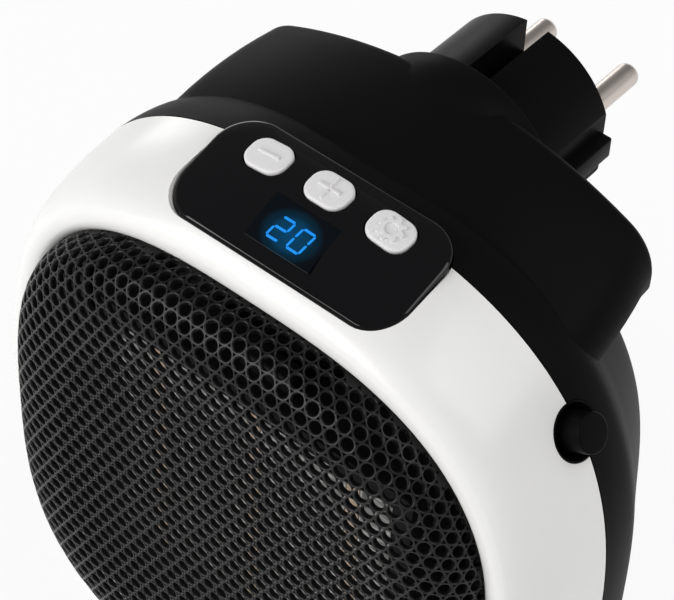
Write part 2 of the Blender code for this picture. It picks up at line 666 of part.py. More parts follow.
def make_housing(material):
    """Black housing: a tapering barrel, the hood above it and the round boss of the plug."""
    front = RING_BACK_DEPTH + GAP
    length = CASE_BACK_DEPTH - front
    rings = [upright(case_outline(size), front + share * length) for share, size in HOUSING_TAPER_SHARES]
    housing = finish(loft(rings), "housing", case_frame, material)

    hood_rings = [
        upright(hood_outline(0.0, HOOD_FRONT_DROP, HOOD_FLARE), HOOD_FRONT_DEPTH),
        upright(hood_outline(0.0, 0.0), CASE_BACK_DEPTH - HOOD_EDGE_RADIUS),
        upright(hood_outline(HOOD_EDGE_RADIUS * (1 - math.sqrt(0.5)), 0.0),
                CASE_BACK_DEPTH - HOOD_EDGE_RADIUS * (1 - math.sqrt(0.5))),
        upright(hood_outline(HOOD_EDGE_RADIUS, 0.0), CASE_BACK_DEPTH),
    ]
    combine(housing, finish(loft(hood_rings), "hood", case_frame), "UNION")
    boss_side = [(BOSS_RADIUS - fall * (BOSS_RADIUS - BOSS_NOSE_RADIUS), BOSS_RIM_DEPTH - way * BOSS_LENGTH)
                 for way, fall in BOSS_SHARES]
    boss_profile = ((0, BOSS_RIM_DEPTH), *boss_side, (0, BOSS_RIM_DEPTH - BOSS_LENGTH))
    boss = turned(boss_profile, "plug_boss", case_frame, steps=PLUG_STEPS,
                  location=(0, 0, PLUG_AXIS_RISE), rotation=TURNED_TO_BACK)
    combine(housing, boss, "UNION")

    web_front = pocket_floor_depth() - PLUG_WEB
    cavity_back = CASE_BACK_DEPTH - CASE_WALL
    cavity_rings = [upright(case_outline(size, CASE_WALL), front - OVERRUN + share * (cavity_back - front + OVERRUN))
                    for share, size in CAVITY_TAPER_SHARES]
    cavity = finish(loft(cavity_rings), "housing_cavity", case_frame)
    hood_rings = [upright(hood_outline(CASE_WALL, HOOD_FRONT_DROP), HOOD_FRONT_DEPTH + CASE_WALL),
                  upright(hood_outline(CASE_WALL, 0.0), web_front)]
    combine(cavity, finish(loft(hood_rings), "hood_cavity", case_frame), "UNION")
    combine(housing, cavity)

    combine(housing, make_rods("screw_posts", POST_RADIUS, POST_MEET_DEPTH + GAP, CASE_BACK_DEPTH - CASE_WALL / 2,
                               POST_STEPS, screw_places()), "UNION")
    combine(housing, make_rods("screw_holes", SCREW_RADIUS + GAP, POST_MEET_DEPTH - OVERRUN,
                               CASE_BACK_DEPTH + OVERRUN, POST_STEPS, screw_places()))
    combine(housing, make_rods("screw_seats", SCREW_HEAD_RADIUS + GAP, screw_seat_depth(),
                               CASE_BACK_DEPTH + OVERRUN, POST_STEPS, screw_places()))
    seat_radius = INTAKE_RADIUS + GAP
    seat_depth = CASE_BACK_DEPTH - INTAKE_PLATE / 2 - GAP
    intake = turned(((0, CASE_BACK_DEPTH + OVERRUN), (seat_radius, CASE_BACK_DEPTH + OVERRUN),
                     (seat_radius, seat_depth), (seat_radius - INTAKE_LEDGE, seat_depth),
                     (seat_radius - INTAKE_LEDGE, cavity_back - OVERRUN), (0, cavity_back - OVERRUN)),
                    "intake_opening", case_frame, steps=INTAKE_STEPS,
                    location=(0, 0, -INTAKE_DROP), rotation=TURNED_TO_BACK)
    combine(housing, intake)
    combine(housing, panel_pocket)
    combine(housing, panel_window)
    combine(housing, switch_well)
    mouth = BOSS_RIM_DEPTH + OVERRUN
    pocket = turned(((0, mouth), (PLUG_RADIUS + GAP, mouth), (PLUG_RADIUS + GAP, pocket_floor_depth()),
                     (JOURNAL_RADIUS + GAP, pocket_floor_depth()), (JOURNAL_RADIUS + GAP, web_front - OVERRUN),
                     (0, web_front - OVERRUN)), "plug_pocket", case_frame, steps=PLUG_STEPS,
                    location=(0, 0, PLUG_AXIS_RISE), rotation=TURNED_TO_BACK)
    combine(housing, pocket)
    return housing


def pocket_floor_depth():
    """Depth of the floor of the pocket that the plug turns in."""
    return BOSS_RIM_DEPTH - BOSS_POCKET_DEPTH


def screw_places():
    """Places of the four case screws, seen from the front."""
    across = CASE_HALF_WIDTH * SCREW_ACROSS_SHARE
    up = CASE_HALF_HEIGHT * SCREW_UP_SHARE
    return [(side * across, end * up) for side in (-1, 1) for end in (-1, 1)]


def make_rods(name, radius, front, back, steps, places):
    """Cylinders along the depth, one at each place."""
    bm = bmesh.new()
    for across, up in places:
        rod(bm, radius, front, back, steps, across, up)
    return finish(bm, name, case_frame)


def join_into(bm, extra):
    """Add one bmesh to another."""
    mesh = bpy.data.meshes.new("joined")
    extra.to_mesh(mesh)
    extra.free()
    bm.from_mesh(mesh)
    bpy.data.meshes.remove(mesh)


def screw_seat_depth():
    """Depth of the face that the screws' heads bear on."""
    return CASE_BACK_DEPTH - SCREW_SINK - SCREW_HEAD_HEIGHT - GAP


def screw_tip_depth():
    """Depth that the screws reach in the shroud's pillars."""
    return POST_MEET_DEPTH - SCREW_BITE


def make_case_screws(material):
    """Case screws, each with a round drive recess in its head."""
    seat = screw_seat_depth() + GAP
    tip = screw_tip_depth()
    profile = ((0, seat + SCREW_HEAD_HEIGHT - SCREW_DRIVE_DEPTH),
               (SCREW_DRIVE_RADIUS, seat + SCREW_HEAD_HEIGHT - SCREW_DRIVE_DEPTH),
               (SCREW_DRIVE_RADIUS, seat + SCREW_HEAD_HEIGHT), (SCREW_HEAD_RADIUS, seat + SCREW_HEAD_HEIGHT),
               (SCREW_HEAD_RADIUS, seat), (SCREW_RADIUS, seat), (SCREW_RADIUS, tip), (0, tip))
    for number, (across, up) in enumerate(screw_places(), start=1):
        turned(profile, f"case_screw_{number}", case_frame, material, steps=PEG_STEPS,
               location=(across, 0, up), rotation=TURNED_TO_BACK)


def make_intake_grille(material):
    """Round intake plate with upright slots."""
    low = CASE_BACK_DEPTH - INTAKE_PLATE / 2
    high = CASE_BACK_DEPTH + INTAKE_PLATE / 2
    grille = finish(rod(bmesh.new(), INTAKE_RADIUS, low, high, INTAKE_STEPS), "intake_grille", case_frame,
                    material, location=(0, 0, -INTAKE_DROP))
    field = INTAKE_RADIUS - INTAKE_RIM
    count = int((field - INTAKE_SLOT_WIDTH) / INTAKE_SLOT_PITCH)
    slots = []
    for place in range(-count, count + 1):
        across = place * INTAKE_SLOT_PITCH
        reach = math.sqrt(field ** 2 - (abs(across) + INTAKE_SLOT_WIDTH / 2) ** 2)
        slots.append(moved(rounded_rectangle(INTAKE_SLOT_WIDTH / 2, reach, INTAKE_SLOT_ROUND, 2), across, 0))
    combine(grille, finish(plate(slots, low - OVERRUN, high + OVERRUN, stand=True), "intake_slots", case_frame,
                           location=(0, 0, -INTAKE_DROP)))
    return grille


def make_control_panel(material):
    """Curved gloss plate with a window for the display and a hole for each button."""
    panel = panel_slab("control_panel", panel_outline(0.0), 0.0, PANEL_THICKNESS, material)
    window = block(bmesh.new(), DISPLAY_HALF_WIDTH + GAP, DISPLAY_FRONT_DEPTH - GAP, DISPLAY_BACK_DEPTH + GAP,
                   PANEL_CREST_RISE / 2, PANEL_CREST_RISE + OVERRUN)
    combine(panel, finish(window, "display_hole", case_frame))
    for index, name in enumerate(BUTTON_NAMES):
        place, turn = button_place(index)
        hole = rounded_rectangle(BUTTON_WIDTH / 2 + GAP, BUTTON_LENGTH / 2 + GAP,
                                 BUTTON_CORNER_RADIUS + GAP, BUTTON_CORNER_STEPS)
        cutter = finish(plate([hole], -PANEL_THICKNESS - OVERRUN, OVERRUN), f"hole_{name}", case_frame,
                        location=place, rotation=turn)
        combine(panel, cutter)
    return panel


def make_buttons(material):
    """Panel buttons: a cap in its hole, a flange under the panel and a stem."""
    for index, name in enumerate(BUTTON_NAMES):
        place, turn = button_place(index)
        outline = rounded_rectangle(BUTTON_WIDTH / 2, BUTTON_LENGTH / 2, BUTTON_CORNER_RADIUS, BUTTON_CORNER_STEPS)
        wide = rounded_rectangle(BUTTON_WIDTH / 2 + BUTTON_FLANGE, BUTTON_LENGTH / 2 + BUTTON_FLANGE,
                                 BUTTON_CORNER_RADIUS + BUTTON_FLANGE, BUTTON_CORNER_STEPS)
        inner = rounded_rectangle(BUTTON_WIDTH / 2 - BUTTON_EDGE_BEVEL, BUTTON_LENGTH / 2 - BUTTON_EDGE_BEVEL,
                                  BUTTON_CORNER_RADIUS - BUTTON_EDGE_BEVEL, BUTTON_CORNER_STEPS)
        flange_top = -PANEL_THICKNESS - GAP - BUTTON_FLANGE_SINK
        flange_low = flange_top - BUTTON_FLANGE_THICKNESS
        rings = [flat(wide, flange_low), flat(wide, flange_top), flat(outline, flange_top),
                 flat(outline, BUTTON_PROUD - BUTTON_EDGE_BEVEL), flat(inner, BUTTON_PROUD)]
        button = finish(loft(rings), f"button_{name}", case_frame, material, location=place, rotation=turn)
        stem = peg(bmesh.new(), BUTTON_STEM_RADIUS, button_stem_foot(index), flange_top, PEG_STEPS)
        combine(button, finish(stem, f"stem_{name}", case_frame, location=place, rotation=turn), "UNION")


def board_rise(depth):
    """Height of the top of the control board, a plane tilted as the panel's middle is."""
    middle = (BOARD_FRONT_DEPTH + BOARD_BACK_DEPTH) / 2
    return panel_rise(0.0, middle) - BOARD_DROP + math.tan(board_tilt()) * (depth - middle)


def board_tilt():
    """Tilt of the control board, that of the panel's curve over the board's middle."""
    middle = (BOARD_FRONT_DEPTH + BOARD_BACK_DEPTH) / 2
    return math.asin((PANEL_CREST_DEPTH - middle) / PANEL_CURVE_RADIUS)


def board_place(across, depth):
    """Place on the board's top, and the board's turn."""
    return (across, depth, board_rise(depth)), (board_tilt(), 0, 0)


def button_stem_foot(index):
    """Height of a stem's foot under its button, just over its switch when it is pressed in."""
    place, turn = button_place(index)
    drop = place[2] - board_rise(BUTTON_DEPTH)
    return -drop + TACT_HEIGHT + GAP + BUTTON_TRAVEL


def make_control_board(material):
    """Control board: a plane tilted as the panel is."""
    middle = (BOARD_FRONT_DEPTH + BOARD_BACK_DEPTH) / 2
    half_length = (BOARD_BACK_DEPTH - BOARD_FRONT_DEPTH) / 2
    place, turn = board_place(0.0, middle)
    return finish(block(bmesh.new(), BOARD_HALF_WIDTH, -half_length, half_length, -BOARD_THICKNESS, 0),
                  "control_board", case_frame, material, location=place, rotation=turn)


def make_panel_pillars():
    """Pillars under the panel that the control board is fixed to."""
    bm = bmesh.new()
    across = BOARD_HALF_WIDTH - BOARD_TAB_RADIUS
    for side in (-1, 1):
        for depth in (BOARD_FRONT_DEPTH + BOARD_TAB_RADIUS, BOARD_BACK_DEPTH - BOARD_TAB_RADIUS):
            top = panel_rise(across, depth) - PANEL_THICKNESS / 2
            foot = board_rise(depth) + GAP / math.cos(board_tilt()) + BOARD_TAB_RADIUS / 2 * math.tan(board_tilt())
            peg(bm, BOARD_TAB_RADIUS / 2, foot, top, PEG_STEPS, side * across, depth)
    return finish(bm, "panel_pillars", case_frame)


def make_tact_switches(material):
    """A small push switch on the board under each button."""
    for index, name in enumerate(BUTTON_NAMES):
        across = (index - 1) * BUTTON_PITCH
        place, turn = board_place(across, BUTTON_DEPTH)
        switch = finish(block(bmesh.new(), TACT_SIDE / 2, -TACT_SIDE / 2, TACT_SIDE / 2, GAP, TACT_BODY_HEIGHT),
                        f"tact_switch_{name}", case_frame, material, location=place, rotation=turn)
        core = peg(bmesh.new(), TACT_CORE_RADIUS, TACT_BODY_HEIGHT / 2, TACT_HEIGHT, PEG_STEPS)
        combine(switch, finish(core, f"tact_core_{name}", case_frame, location=place, rotation=turn), "UNION")


def make_display(lens, module):
    """Flush window in the panel, and the lit module that stands on the board below it."""
    panel_slab("display_window", display_outline(0.0), 0.0, PANEL_THICKNESS, lens)
    middle = (DISPLAY_FRONT_DEPTH + DISPLAY_BACK_DEPTH) / 2
    half_length = (DISPLAY_BACK_DEPTH - DISPLAY_FRONT_DEPTH) / 2 - MODULE_MARGIN
    place, turn = board_place(0.0, middle)
    finish(block(bmesh.new(), DISPLAY_HALF_WIDTH - MODULE_MARGIN, -half_length, half_length, GAP, MODULE_HEIGHT),
           "display_module", case_frame, module, location=place, rotation=turn)


def make_push_switch(bezel_material, body_material):
    """Dished bezel, tall round button and switch body on the right shoulder."""
    place, turn = switch_place()
    rim = -SWITCH_RIM_SINK
    bezel_foot = rim - SWITCH_BEZEL_HEIGHT
    bezel_profile = ((SWITCH_BORE_RADIUS, rim - SWITCH_DISH),
                     (SWITCH_WELL_RADIUS - SWITCH_BUTTON_BEVEL * 2, rim - SWITCH_BUTTON_BEVEL),
                     (SWITCH_WELL_RADIUS - SWITCH_BUTTON_BEVEL, rim),
                     (SWITCH_WELL_RADIUS, rim), (SWITCH_WELL_RADIUS, bezel_foot), (SWITCH_BORE_RADIUS, bezel_foot))
    turned(bezel_profile, "switch_bezel", case_frame, bezel_material, location=place, rotation=turn)
    flange_top = bezel_foot - GAP
    flange_low = flange_top - SWITCH_FLANGE_THICKNESS
    button_profile = ((0, SWITCH_BUTTON_PROUD), (SWITCH_BUTTON_RADIUS - SWITCH_BUTTON_BEVEL, SWITCH_BUTTON_PROUD),
                      (SWITCH_BUTTON_RADIUS, SWITCH_BUTTON_PROUD - SWITCH_BUTTON_BEVEL),
                      (SWITCH_BUTTON_RADIUS, flange_top), (SWITCH_FLANGE_RADIUS, flange_top),
                      (SWITCH_FLANGE_RADIUS, flange_low), (0, flange_low))
    turned(button_profile, "switch_button", case_frame, bezel_material, location=place, rotation=turn)
    cup_top = flange_top
    cup_floor = flange_low - SWITCH_TRAVEL - GAP
    body_foot = cup_floor - SWITCH_BODY_LENGTH
    cup_radius = SWITCH_FLANGE_RADIUS + GAP
    body_profile = ((0, cup_floor), (cup_radius, cup_floor), (cup_radius, cup_top),
                    (SWITCH_WELL_RADIUS, cup_top), (SWITCH_WELL_RADIUS, body_foot + SWITCH_TRAVEL),
                    (SWITCH_BODY_RADIUS, body_foot), (0, body_foot))
    turned(body_profile, "switch_body", case_frame, body_material, location=place, rotation=turn)


def make_switch_well():
    """Cutter of the well that the push switch sits in, through the ring and the housing."""
    place, turn = switch_place()
    depth = SWITCH_BEZEL_HEIGHT + CASE_WALL + SWITCH_BODY_LENGTH + SWITCH_TRAVEL
    profile = ((0, OVERRUN), (SWITCH_WELL_RADIUS + GAP, OVERRUN), (SWITCH_WELL_RADIUS + GAP, -depth), (0, -depth))
    return turned(profile, "switch_well", case_frame, location=place, rotation=turn)


def heater_half_width():
    """Half the width of the stack of strips and fins."""
    return HEATER_STRIP_PITCH + HEATER_STRIP_WIDTH / 2 + GAP + HEATER_SIDE_FIN_WIDTH


def make_heating_element(frame_material, strip_material, fin_material):
    """Frame, ceramic strips and folded fins of the heating element."""
    half_width = heater_half_width() + GAP
    half_height = HEATER_HALF_HEIGHT + GAP
    front = HEATER_FRONT_DEPTH
    back = front + HEATER_THICKNESS
    outer = rounded_rectangle(half_width + HEATER_FRAME_WALL, half_height + HEATER_FRAME_WALL,
                              HEATER_FRAME_WALL / 2, 2)
    frame = finish(plate([outer], front - HEATER_FRAME_LIP - GAP, back + HEATER_FRAME_LIP + GAP, stand=True),
                   "ptc_frame", case_frame, frame_material)
    pocket = block(bmesh.new(), half_width, front - GAP, back + GAP, -half_height, half_height)
    combine(frame, finish(pocket, "heater_pocket", case_frame))
    mouth = block(bmesh.new(), half_width - HEATER_FRAME_LIP, front - OVERRUN, back + OVERRUN,
                  -half_height + HEATER_FRAME_LIP, half_height - HEATER_FRAME_LIP)
    combine(frame, finish(mouth, "heater_mouth", case_frame))
    for place, name in enumerate(("left", "centre", "right"), start=-1):
        finish(block(bmesh.new(), HEATER_STRIP_WIDTH / 2, front, back, -HEATER_HALF_HEIGHT, HEATER_HALF_HEIGHT),
               f"ptc_strip_{name}", case_frame, strip_material, location=(place * HEATER_STRIP_PITCH, 0, 0))
    strip_edge = HEATER_STRIP_WIDTH / 2 + GAP
    outer_edge = HEATER_STRIP_PITCH + strip_edge
    inner_edge = HEATER_STRIP_PITCH - strip_edge
    spans = ((-outer_edge - HEATER_SIDE_FIN_WIDTH, -outer_edge), (-inner_edge, -strip_edge),
             (strip_edge, inner_edge), (outer_edge, outer_edge + HEATER_SIDE_FIN_WIDTH))
    for number, (left, right) in enumerate(spans, start=1):
        make_fin_bank(f"heat_fins_{number}", left, right, fin_material)


def make_fin_bank(name, left, right, material):
    """One folded strip of fins: a zigzag line, drawn sideways into a thin sheet and then back into its depth."""
    folds = int(2 * HEATER_HALF_HEIGHT / HEATER_FIN_PITCH)
    slope = HEATER_HALF_HEIGHT / folds
    spread = HEATER_FIN_SHEET * math.hypot(right - left, slope) / slope
    bm = bmesh.new()
    line = []
    for step in range(2 * folds + 1):
        across = left if step % 2 else right - spread
        line.append(bm.verts.new((across, HEATER_FRONT_DEPTH, -HEATER_HALF_HEIGHT + slope * step)))
    edges = [bm.edges.new(pair) for pair in zip(line, line[1:])]
    grow_mesh(bm, bmesh.ops.extrude_edge_only(bm, edges=edges), (spread, 0, 0))
    grow_mesh(bm, bmesh.ops.extrude_face_region(bm, geom=bm.faces[:], use_keep_orig=True), (0, HEATER_THICKNESS, 0))
    return finish(bm, name, case_frame, material)


def grow_mesh(bm, extruded, step):
    """Move what an extrusion has made."""
    fresh = [item for item in extruded["geom"] if isinstance(item, bmesh.types.BMVert)]
    bmesh.ops.translate(bm, verts=fresh, vec=step)


def make_thermal_cutout(material):
    """Thermal cut-out that lies on top of the heating element's frame."""
    rise = HEATER_HALF_HEIGHT + GAP + HEATER_FRAME_WALL + GAP
    middle = HEATER_FRONT_DEPTH + HEATER_THICKNESS / 2
    cutout = finish(block(bmesh.new(), CUTOUT_LENGTH / 2, -CUTOUT_WIDTH / 2, CUTOUT_WIDTH / 2, rise,
                          rise + CUTOUT_HEIGHT), "thermal_cutout", case_frame, material, location=(0, middle, 0))
    bevel(cutout, CUTOUT_BEVEL)
    return cutout


def motor_front_depth():
    """Depth of the motor's front face, behind the impeller."""
    return SHROUD_FRONT_DEPTH + IMPELLER_FACE_CLEARANCE + IMPELLER_DEPTH + IMPELLER_FACE_CLEARANCE


def make_fan_shroud(material):
    """Plate across the case with the fan's duct, motor cup, struts, legs and screw pillars."""
    plate_outline = superellipse(CASE_HALF_WIDTH - CASE_WALL - SHROUD_FIT, SHROUD_HALF_HEIGHT, CASE_SQUARENESS, CASE_STEPS)
    plate_middle = SHROUD_FRONT_DEPTH + SHROUD_PLATE / 2
    shroud = finish(plate([plate_outline], SHROUD_FRONT_DEPTH, SHROUD_FRONT_DEPTH + SHROUD_PLATE, stand=True),
                    "fan_shroud", case_frame, material)
    axis = [(0, -FAN_AXIS_DROP)]
    combine(shroud, make_rods("fan_duct", SHROUD_BORE_RADIUS + SHROUD_WALL, plate_middle, SHROUD_BACK_DEPTH,
                              INTAKE_STEPS, axis), "UNION")
    combine(shroud, make_rods("fan_bore", SHROUD_BORE_RADIUS, SHROUD_FRONT_DEPTH - OVERRUN,
                              SHROUD_BACK_DEPTH + OVERRUN, INTAKE_STEPS, axis))
    reach = SHROUD_BORE_RADIUS + SHROUD_WALL / 2
    strut_front = SHROUD_BACK_DEPTH - SHROUD_STRUT_DEPTH
    for name, half_width, half_height in (("level", reach, SHROUD_STRUT_WIDTH / 2),
                                          ("upright", SHROUD_STRUT_WIDTH / 2, reach)):
        strut = block(bmesh.new(), half_width, strut_front, SHROUD_BACK_DEPTH, -half_height, half_height)
        combine(shroud, finish(strut, f"motor_strut_{name}", case_frame, location=(0, 0, -FAN_AXIS_DROP)), "UNION")
    cup_front = motor_front_depth() + GAP
    cup_back = SHROUD_BACK_DEPTH + MOTOR_CUP_WALL
    combine(shroud, make_rods("motor_cup", MOTOR_RADIUS + GAP + MOTOR_CUP_WALL, cup_front, cup_back,
                              IMPELLER_STEPS, axis), "UNION")
    combine(shroud, make_rods("motor_seat", MOTOR_RADIUS + GAP, cup_front - OVERRUN, cup_back + OVERRUN,
                              IMPELLER_STEPS, axis))
    combine(shroud, make_rods("shroud_pillars", POST_RADIUS - GAP, plate_middle, POST_MEET_DEPTH,
                              POST_STEPS, screw_places()), "UNION")
    leg_across = heater_half_width() + GAP + HEATER_FRAME_WALL / 2
    legs = [(side * leg_across, end * HEATER_HALF_HEIGHT) for side in (-1, 1) for end in (-1, 1)]
    heater_back = HEATER_FRONT_DEPTH + HEATER_THICKNESS + HEATER_FRAME_LIP + GAP
    combine(shroud, make_rods("heater_legs", HEATER_LEG_RADIUS, heater_back + GAP, plate_middle, PEG_STEPS, legs),
            "UNION")
    pilot_front = screw_tip_depth() - GAP
    combine(shroud, make_rods("pilot_holes", SCREW_RADIUS + GAP, pilot_front, POST_MEET_DEPTH + OVERRUN,
                              PEG_STEPS, screw_places()))
    combine(shroud, switch_well)
    return shroud


def make_fan_motor(material):
    """Small round motor with its shaft and rear bearing cap."""
    front = motor_front_depth() + GAP
    back = CASE_BACK_DEPTH - INTAKE_PLATE / 2 - MOTOR_BACK_ROOM - MOTOR_CAP_HEIGHT
    shaft_tip = SHROUD_FRONT_DEPTH + IMPELLER_FACE_CLEARANCE + IMPELLER_HUB_WALL + GAP
    profile = ((0, back + MOTOR_CAP_HEIGHT), (MOTOR_CAP_RADIUS, back + MOTOR_CAP_HEIGHT), (MOTOR_CAP_RADIUS, back),
               (MOTOR_RADIUS, back), (MOTOR_RADIUS, front), (MOTOR_SHAFT_RADIUS, front),
               (MOTOR_SHAFT_RADIUS, shaft_tip), (0, shaft_tip))
    turned(profile, "fan_motor", case_frame, material, steps=IMPELLER_STEPS,
           location=(0, 0, -FAN_AXIS_DROP), rotation=TURNED_TO_BACK)


def make_impeller(material):
    """Axial impeller: a cupped hub and twisted blades."""
    front = SHROUD_FRONT_DEPTH + IMPELLER_FACE_CLEARANCE
    fan_frame = make_frame("fan_frame", (0, front, -FAN_AXIS_DROP), case_frame)
    sleeve = MOTOR_SHAFT_RADIUS + GAP
    hub_back = IMPELLER_DEPTH
    collar = sleeve + IMPELLER_SLEEVE_WALL
    profile = ((sleeve, hub_back), (collar, hub_back), (collar, IMPELLER_HUB_WALL),
               (IMPELLER_HUB_RADIUS - IMPELLER_HUB_WALL, IMPELLER_HUB_WALL),
               (IMPELLER_HUB_RADIUS - IMPELLER_HUB_WALL, hub_back),
               (IMPELLER_HUB_RADIUS, hub_back), (IMPELLER_HUB_RADIUS, 0), (0, 0), (0, IMPELLER_HUB_WALL),
               (sleeve, IMPELLER_HUB_WALL))
    hub = bmesh.new()
    points = [hub.verts.new((radius, height, 0)) for radius, height in profile]
    edges = [hub.edges.new(pair) for pair in zip(points, points[1:] + points[:1])
             if pair[0].co.x > 0 or pair[1].co.x > 0]
    bmesh.ops.spin(hub, geom=points + edges, cent=(0, 0, 0), axis=(0, 1, 0), angle=math.tau,
                   steps=IMPELLER_STEPS, use_merge=True)
    bmesh.ops.remove_doubles(hub, verts=hub.verts, dist=WELD)
    impeller = finish(hub, "fan_impeller", fan_frame, material)
    blades = bmesh.new()
    tip_radius = SHROUD_BORE_RADIUS - IMPELLER_TIP_CLEARANCE
    root_radius = IMPELLER_HUB_RADIUS - IMPELLER_HUB_WALL / 2
    stations = IMPELLER_BLADE_STATIONS
    for number in range(IMPELLER_BLADES):
        spin = Matrix.Rotation(math.tau * number / IMPELLER_BLADES, 3, "Y")
        sections = []
        for station in range(stations):
            way = station / (stations - 1)
            radius = root_radius + (tip_radius - root_radius) * way
            pitch = IMPELLER_ROOT_PITCH + (IMPELLER_TIP_PITCH - IMPELLER_ROOT_PITCH) * way
            half_chord = (IMPELLER_DEPTH - IMPELLER_BLADE_SHEET) / 2 / math.sin(pitch)
            half_chord = min(half_chord, radius * math.pi / IMPELLER_BLADES)
            sections.append(blade_section(radius, pitch, half_chord, spin))
        join_into(blades, loft(sections))
    combine(impeller, finish(blades, "impeller_blades", fan_frame), "UNION")
    return impeller


def blade_section(radius, pitch, half_chord, spin):
    """Cross-section of a blade: a pitched plate wrapped round the hub's axis."""
    points = []
    half_sheet = IMPELLER_BLADE_SHEET / 2
    for along, over in ((-1, -1), (0, -1), (1, -1), (1, 1), (0, 1), (-1, 1)):
        sideways = along * half_chord * math.cos(pitch) - over * half_sheet * math.sin(pitch)
        depth = along * half_chord * math.sin(pitch) + over * half_sheet * math.cos(pitch)
        angle = sideways / radius
        points.append(spin @ Vector((radius * math.sin(angle), IMPELLER_DEPTH / 2 + depth * IMPELLER_BLADE_DEPTH_SHARE,
                                     radius * math.cos(angle))))
    return points


def make_plug(body_material, pin_material, retainer_material):
    """Round plug with flats, ribs and grooves, its two pins and the disc that keeps it in."""
    base = pocket_floor_depth() + GAP - PLUG_FACE_DEPTH
    rim = BOSS_RIM_DEPTH - PLUG_FACE_DEPTH
    body = finish(rod(bmesh.new(), PLUG_RADIUS, base, 0, PLUG_STEPS), "plug_body", plug_frame, body_material)
    bevel(body, PLUG_EDGE_BEVEL, segments=1)
    journal_front = pocket_floor_depth() - PLUG_WEB - PLUG_FACE_DEPTH
    journal = rod(bmesh.new(), JOURNAL_RADIUS, journal_front, base + PLUG_EDGE_BEVEL, PLUG_STEPS // 2)
    combine(body, finish(journal, "plug_journal", plug_frame), "UNION")
    beyond = PLUG_RADIUS + OVERRUN
    for side, name in ((-1, "left"), (1, "right")):
        middle = side * (PLUG_FLAT_REACH + beyond) / 2
        side_cut = block(bmesh.new(), (beyond - PLUG_FLAT_REACH) / 2, rim, OVERRUN, -beyond, beyond, middle)
        combine(body, finish(side_cut, f"plug_flat_{name}", plug_frame))
    for side, name in ((-1, "left"), (1, "right")):
        rib_half = (PLUG_RIB_REACH - PLUG_RIB_ROOT) / 2
        rib = finish(block(bmesh.new(), rib_half, rim + PLUG_RIB_BEVEL, -PLUG_EDGE_BEVEL, -PLUG_RIB_WIDTH / 2,
                           PLUG_RIB_WIDTH / 2, side * (PLUG_RIB_REACH - rib_half)), f"plug_rib_{name}", plug_frame)
        bevel(rib, PLUG_RIB_BEVEL, segments=1)
        combine(body, rib, "UNION")
    for end, name in ((-1, "low"), (1, "top")):
        floor = PLUG_RADIUS - PLUG_GROOVE_DEPTH
        low, high = sorted((end * floor, end * beyond))
        groove = block(bmesh.new(), PLUG_GROOVE_WIDTH / 2, rim, OVERRUN, low, high)
        combine(body, finish(groove, f"plug_groove_{name}", plug_frame))
    for side, name in ((-1, "left"), (1, "right")):
        across = side * PIN_SPACING / 2
        bore = rod(bmesh.new(), PIN_RADIUS + GAP, -PIN_ROOT - GAP, OVERRUN, PIN_STEPS, across)
        combine(body, finish(bore, f"pin_bore_{name}", plug_frame))
        shoulder = PIN_TIP_BEVEL * (1 - math.sqrt(0.5))
        profile = ((0, PIN_LENGTH), (PIN_RADIUS - PIN_TIP_BEVEL, PIN_LENGTH),
                   (PIN_RADIUS - shoulder, PIN_LENGTH - shoulder), (PIN_RADIUS, PIN_LENGTH - PIN_TIP_BEVEL),
                   (PIN_RADIUS, -PIN_ROOT), (0, -PIN_ROOT))
        turned(profile, f"plug_pin_{name}", plug_frame, pin_material, steps=PIN_STEPS,
               location=(across, 0, 0), rotation=TURNED_TO_BACK)
    disc = rod(bmesh.new(), RETAINER_RADIUS, journal_front - GAP - RETAINER_THICKNESS, journal_front - GAP,
               PLUG_STEPS // 2)
    bevel(finish(disc, "plug_retainer", plug_frame, retainer_material), PLUG_EDGE_BEVEL, segments=1)


clear_scene()
parts = make_collection("plug_in_fan_heater")
cutters = make_collection("cutters")

gloss_white = make_material("gloss white plastic", (0.86, 0.86, 0.85), 0.22)
soft_white = make_material("white button plastic", (0.84, 0.84, 0.84), 0.35)
gloss_black = make_material("gloss black plastic", (0.035, 0.034, 0.038), 0.12)
matt_black = make_material("matt black plastic", (0.028, 0.028, 0.029), 0.45)
smoked = make_material("smoked window", (0.01, 0.03, 0.05), 0.08)
lit_blue = make_material("lit display", (0.02, 0.35, 0.7), 0.4)
board_green = make_material("circuit board", (0.02, 0.12, 0.05), 0.5)
nickel = make_material("nickel plated brass", (0.72, 0.69, 0.66), 0.25, 1.0)
steel = make_material("zinc plated steel", (0.6, 0.6, 0.6), 0.35, 1.0)
fin_metal = make_material("fin aluminium", (0.6, 0.6, 0.6), 0.4, 1.0)
ceramic = make_material("heating ceramic", (0.42, 0.34, 0.28), 0.6)
heat_plastic = make_material("heat proof plastic", (0.03, 0.03, 0.03), 0.55)

plug_frame = make_frame("plug_frame", (0, 0, 0))
case_frame = make_frame("case_frame", (0, -PLUG_FACE_DEPTH, -PLUG_AXIS_RISE))

panel_pocket = panel_slab("panel_pocket", panel_outline(GAP), OVERRUN * 2, PANEL_THICKNESS + GAP)
panel_window = finish(plate([panel_outline(-PANEL_LEDGE)], PANEL_CREST_RISE / 2, PANEL_CREST_RISE + OVERRUN),
                      "panel_window", case_frame)
switch_well = make_switch_well()

make_front_ring(gloss_white)
make_front_grille(matt_black)
make_housing(matt_black)
make_intake_grille(matt_black)
make_case_screws(steel)

panel_piece = make_control_panel(gloss_black)
combine(panel_piece, make_panel_pillars(), "UNION")
make_display(smoked, lit_blue)
make_buttons(soft_white)
make_control_board(board_green)
make_tact_switches(matt_black)
make_push_switch(matt_black, matt_black)

make_heating_element(heat_plastic, ceramic, fin_metal)
make_thermal_cutout(heat_plastic)
make_fan_shroud(heat_plastic)
make_fan_motor(steel)
make_impeller(heat_plastic)

make_plug(matt_black, nickel, heat_plastic)
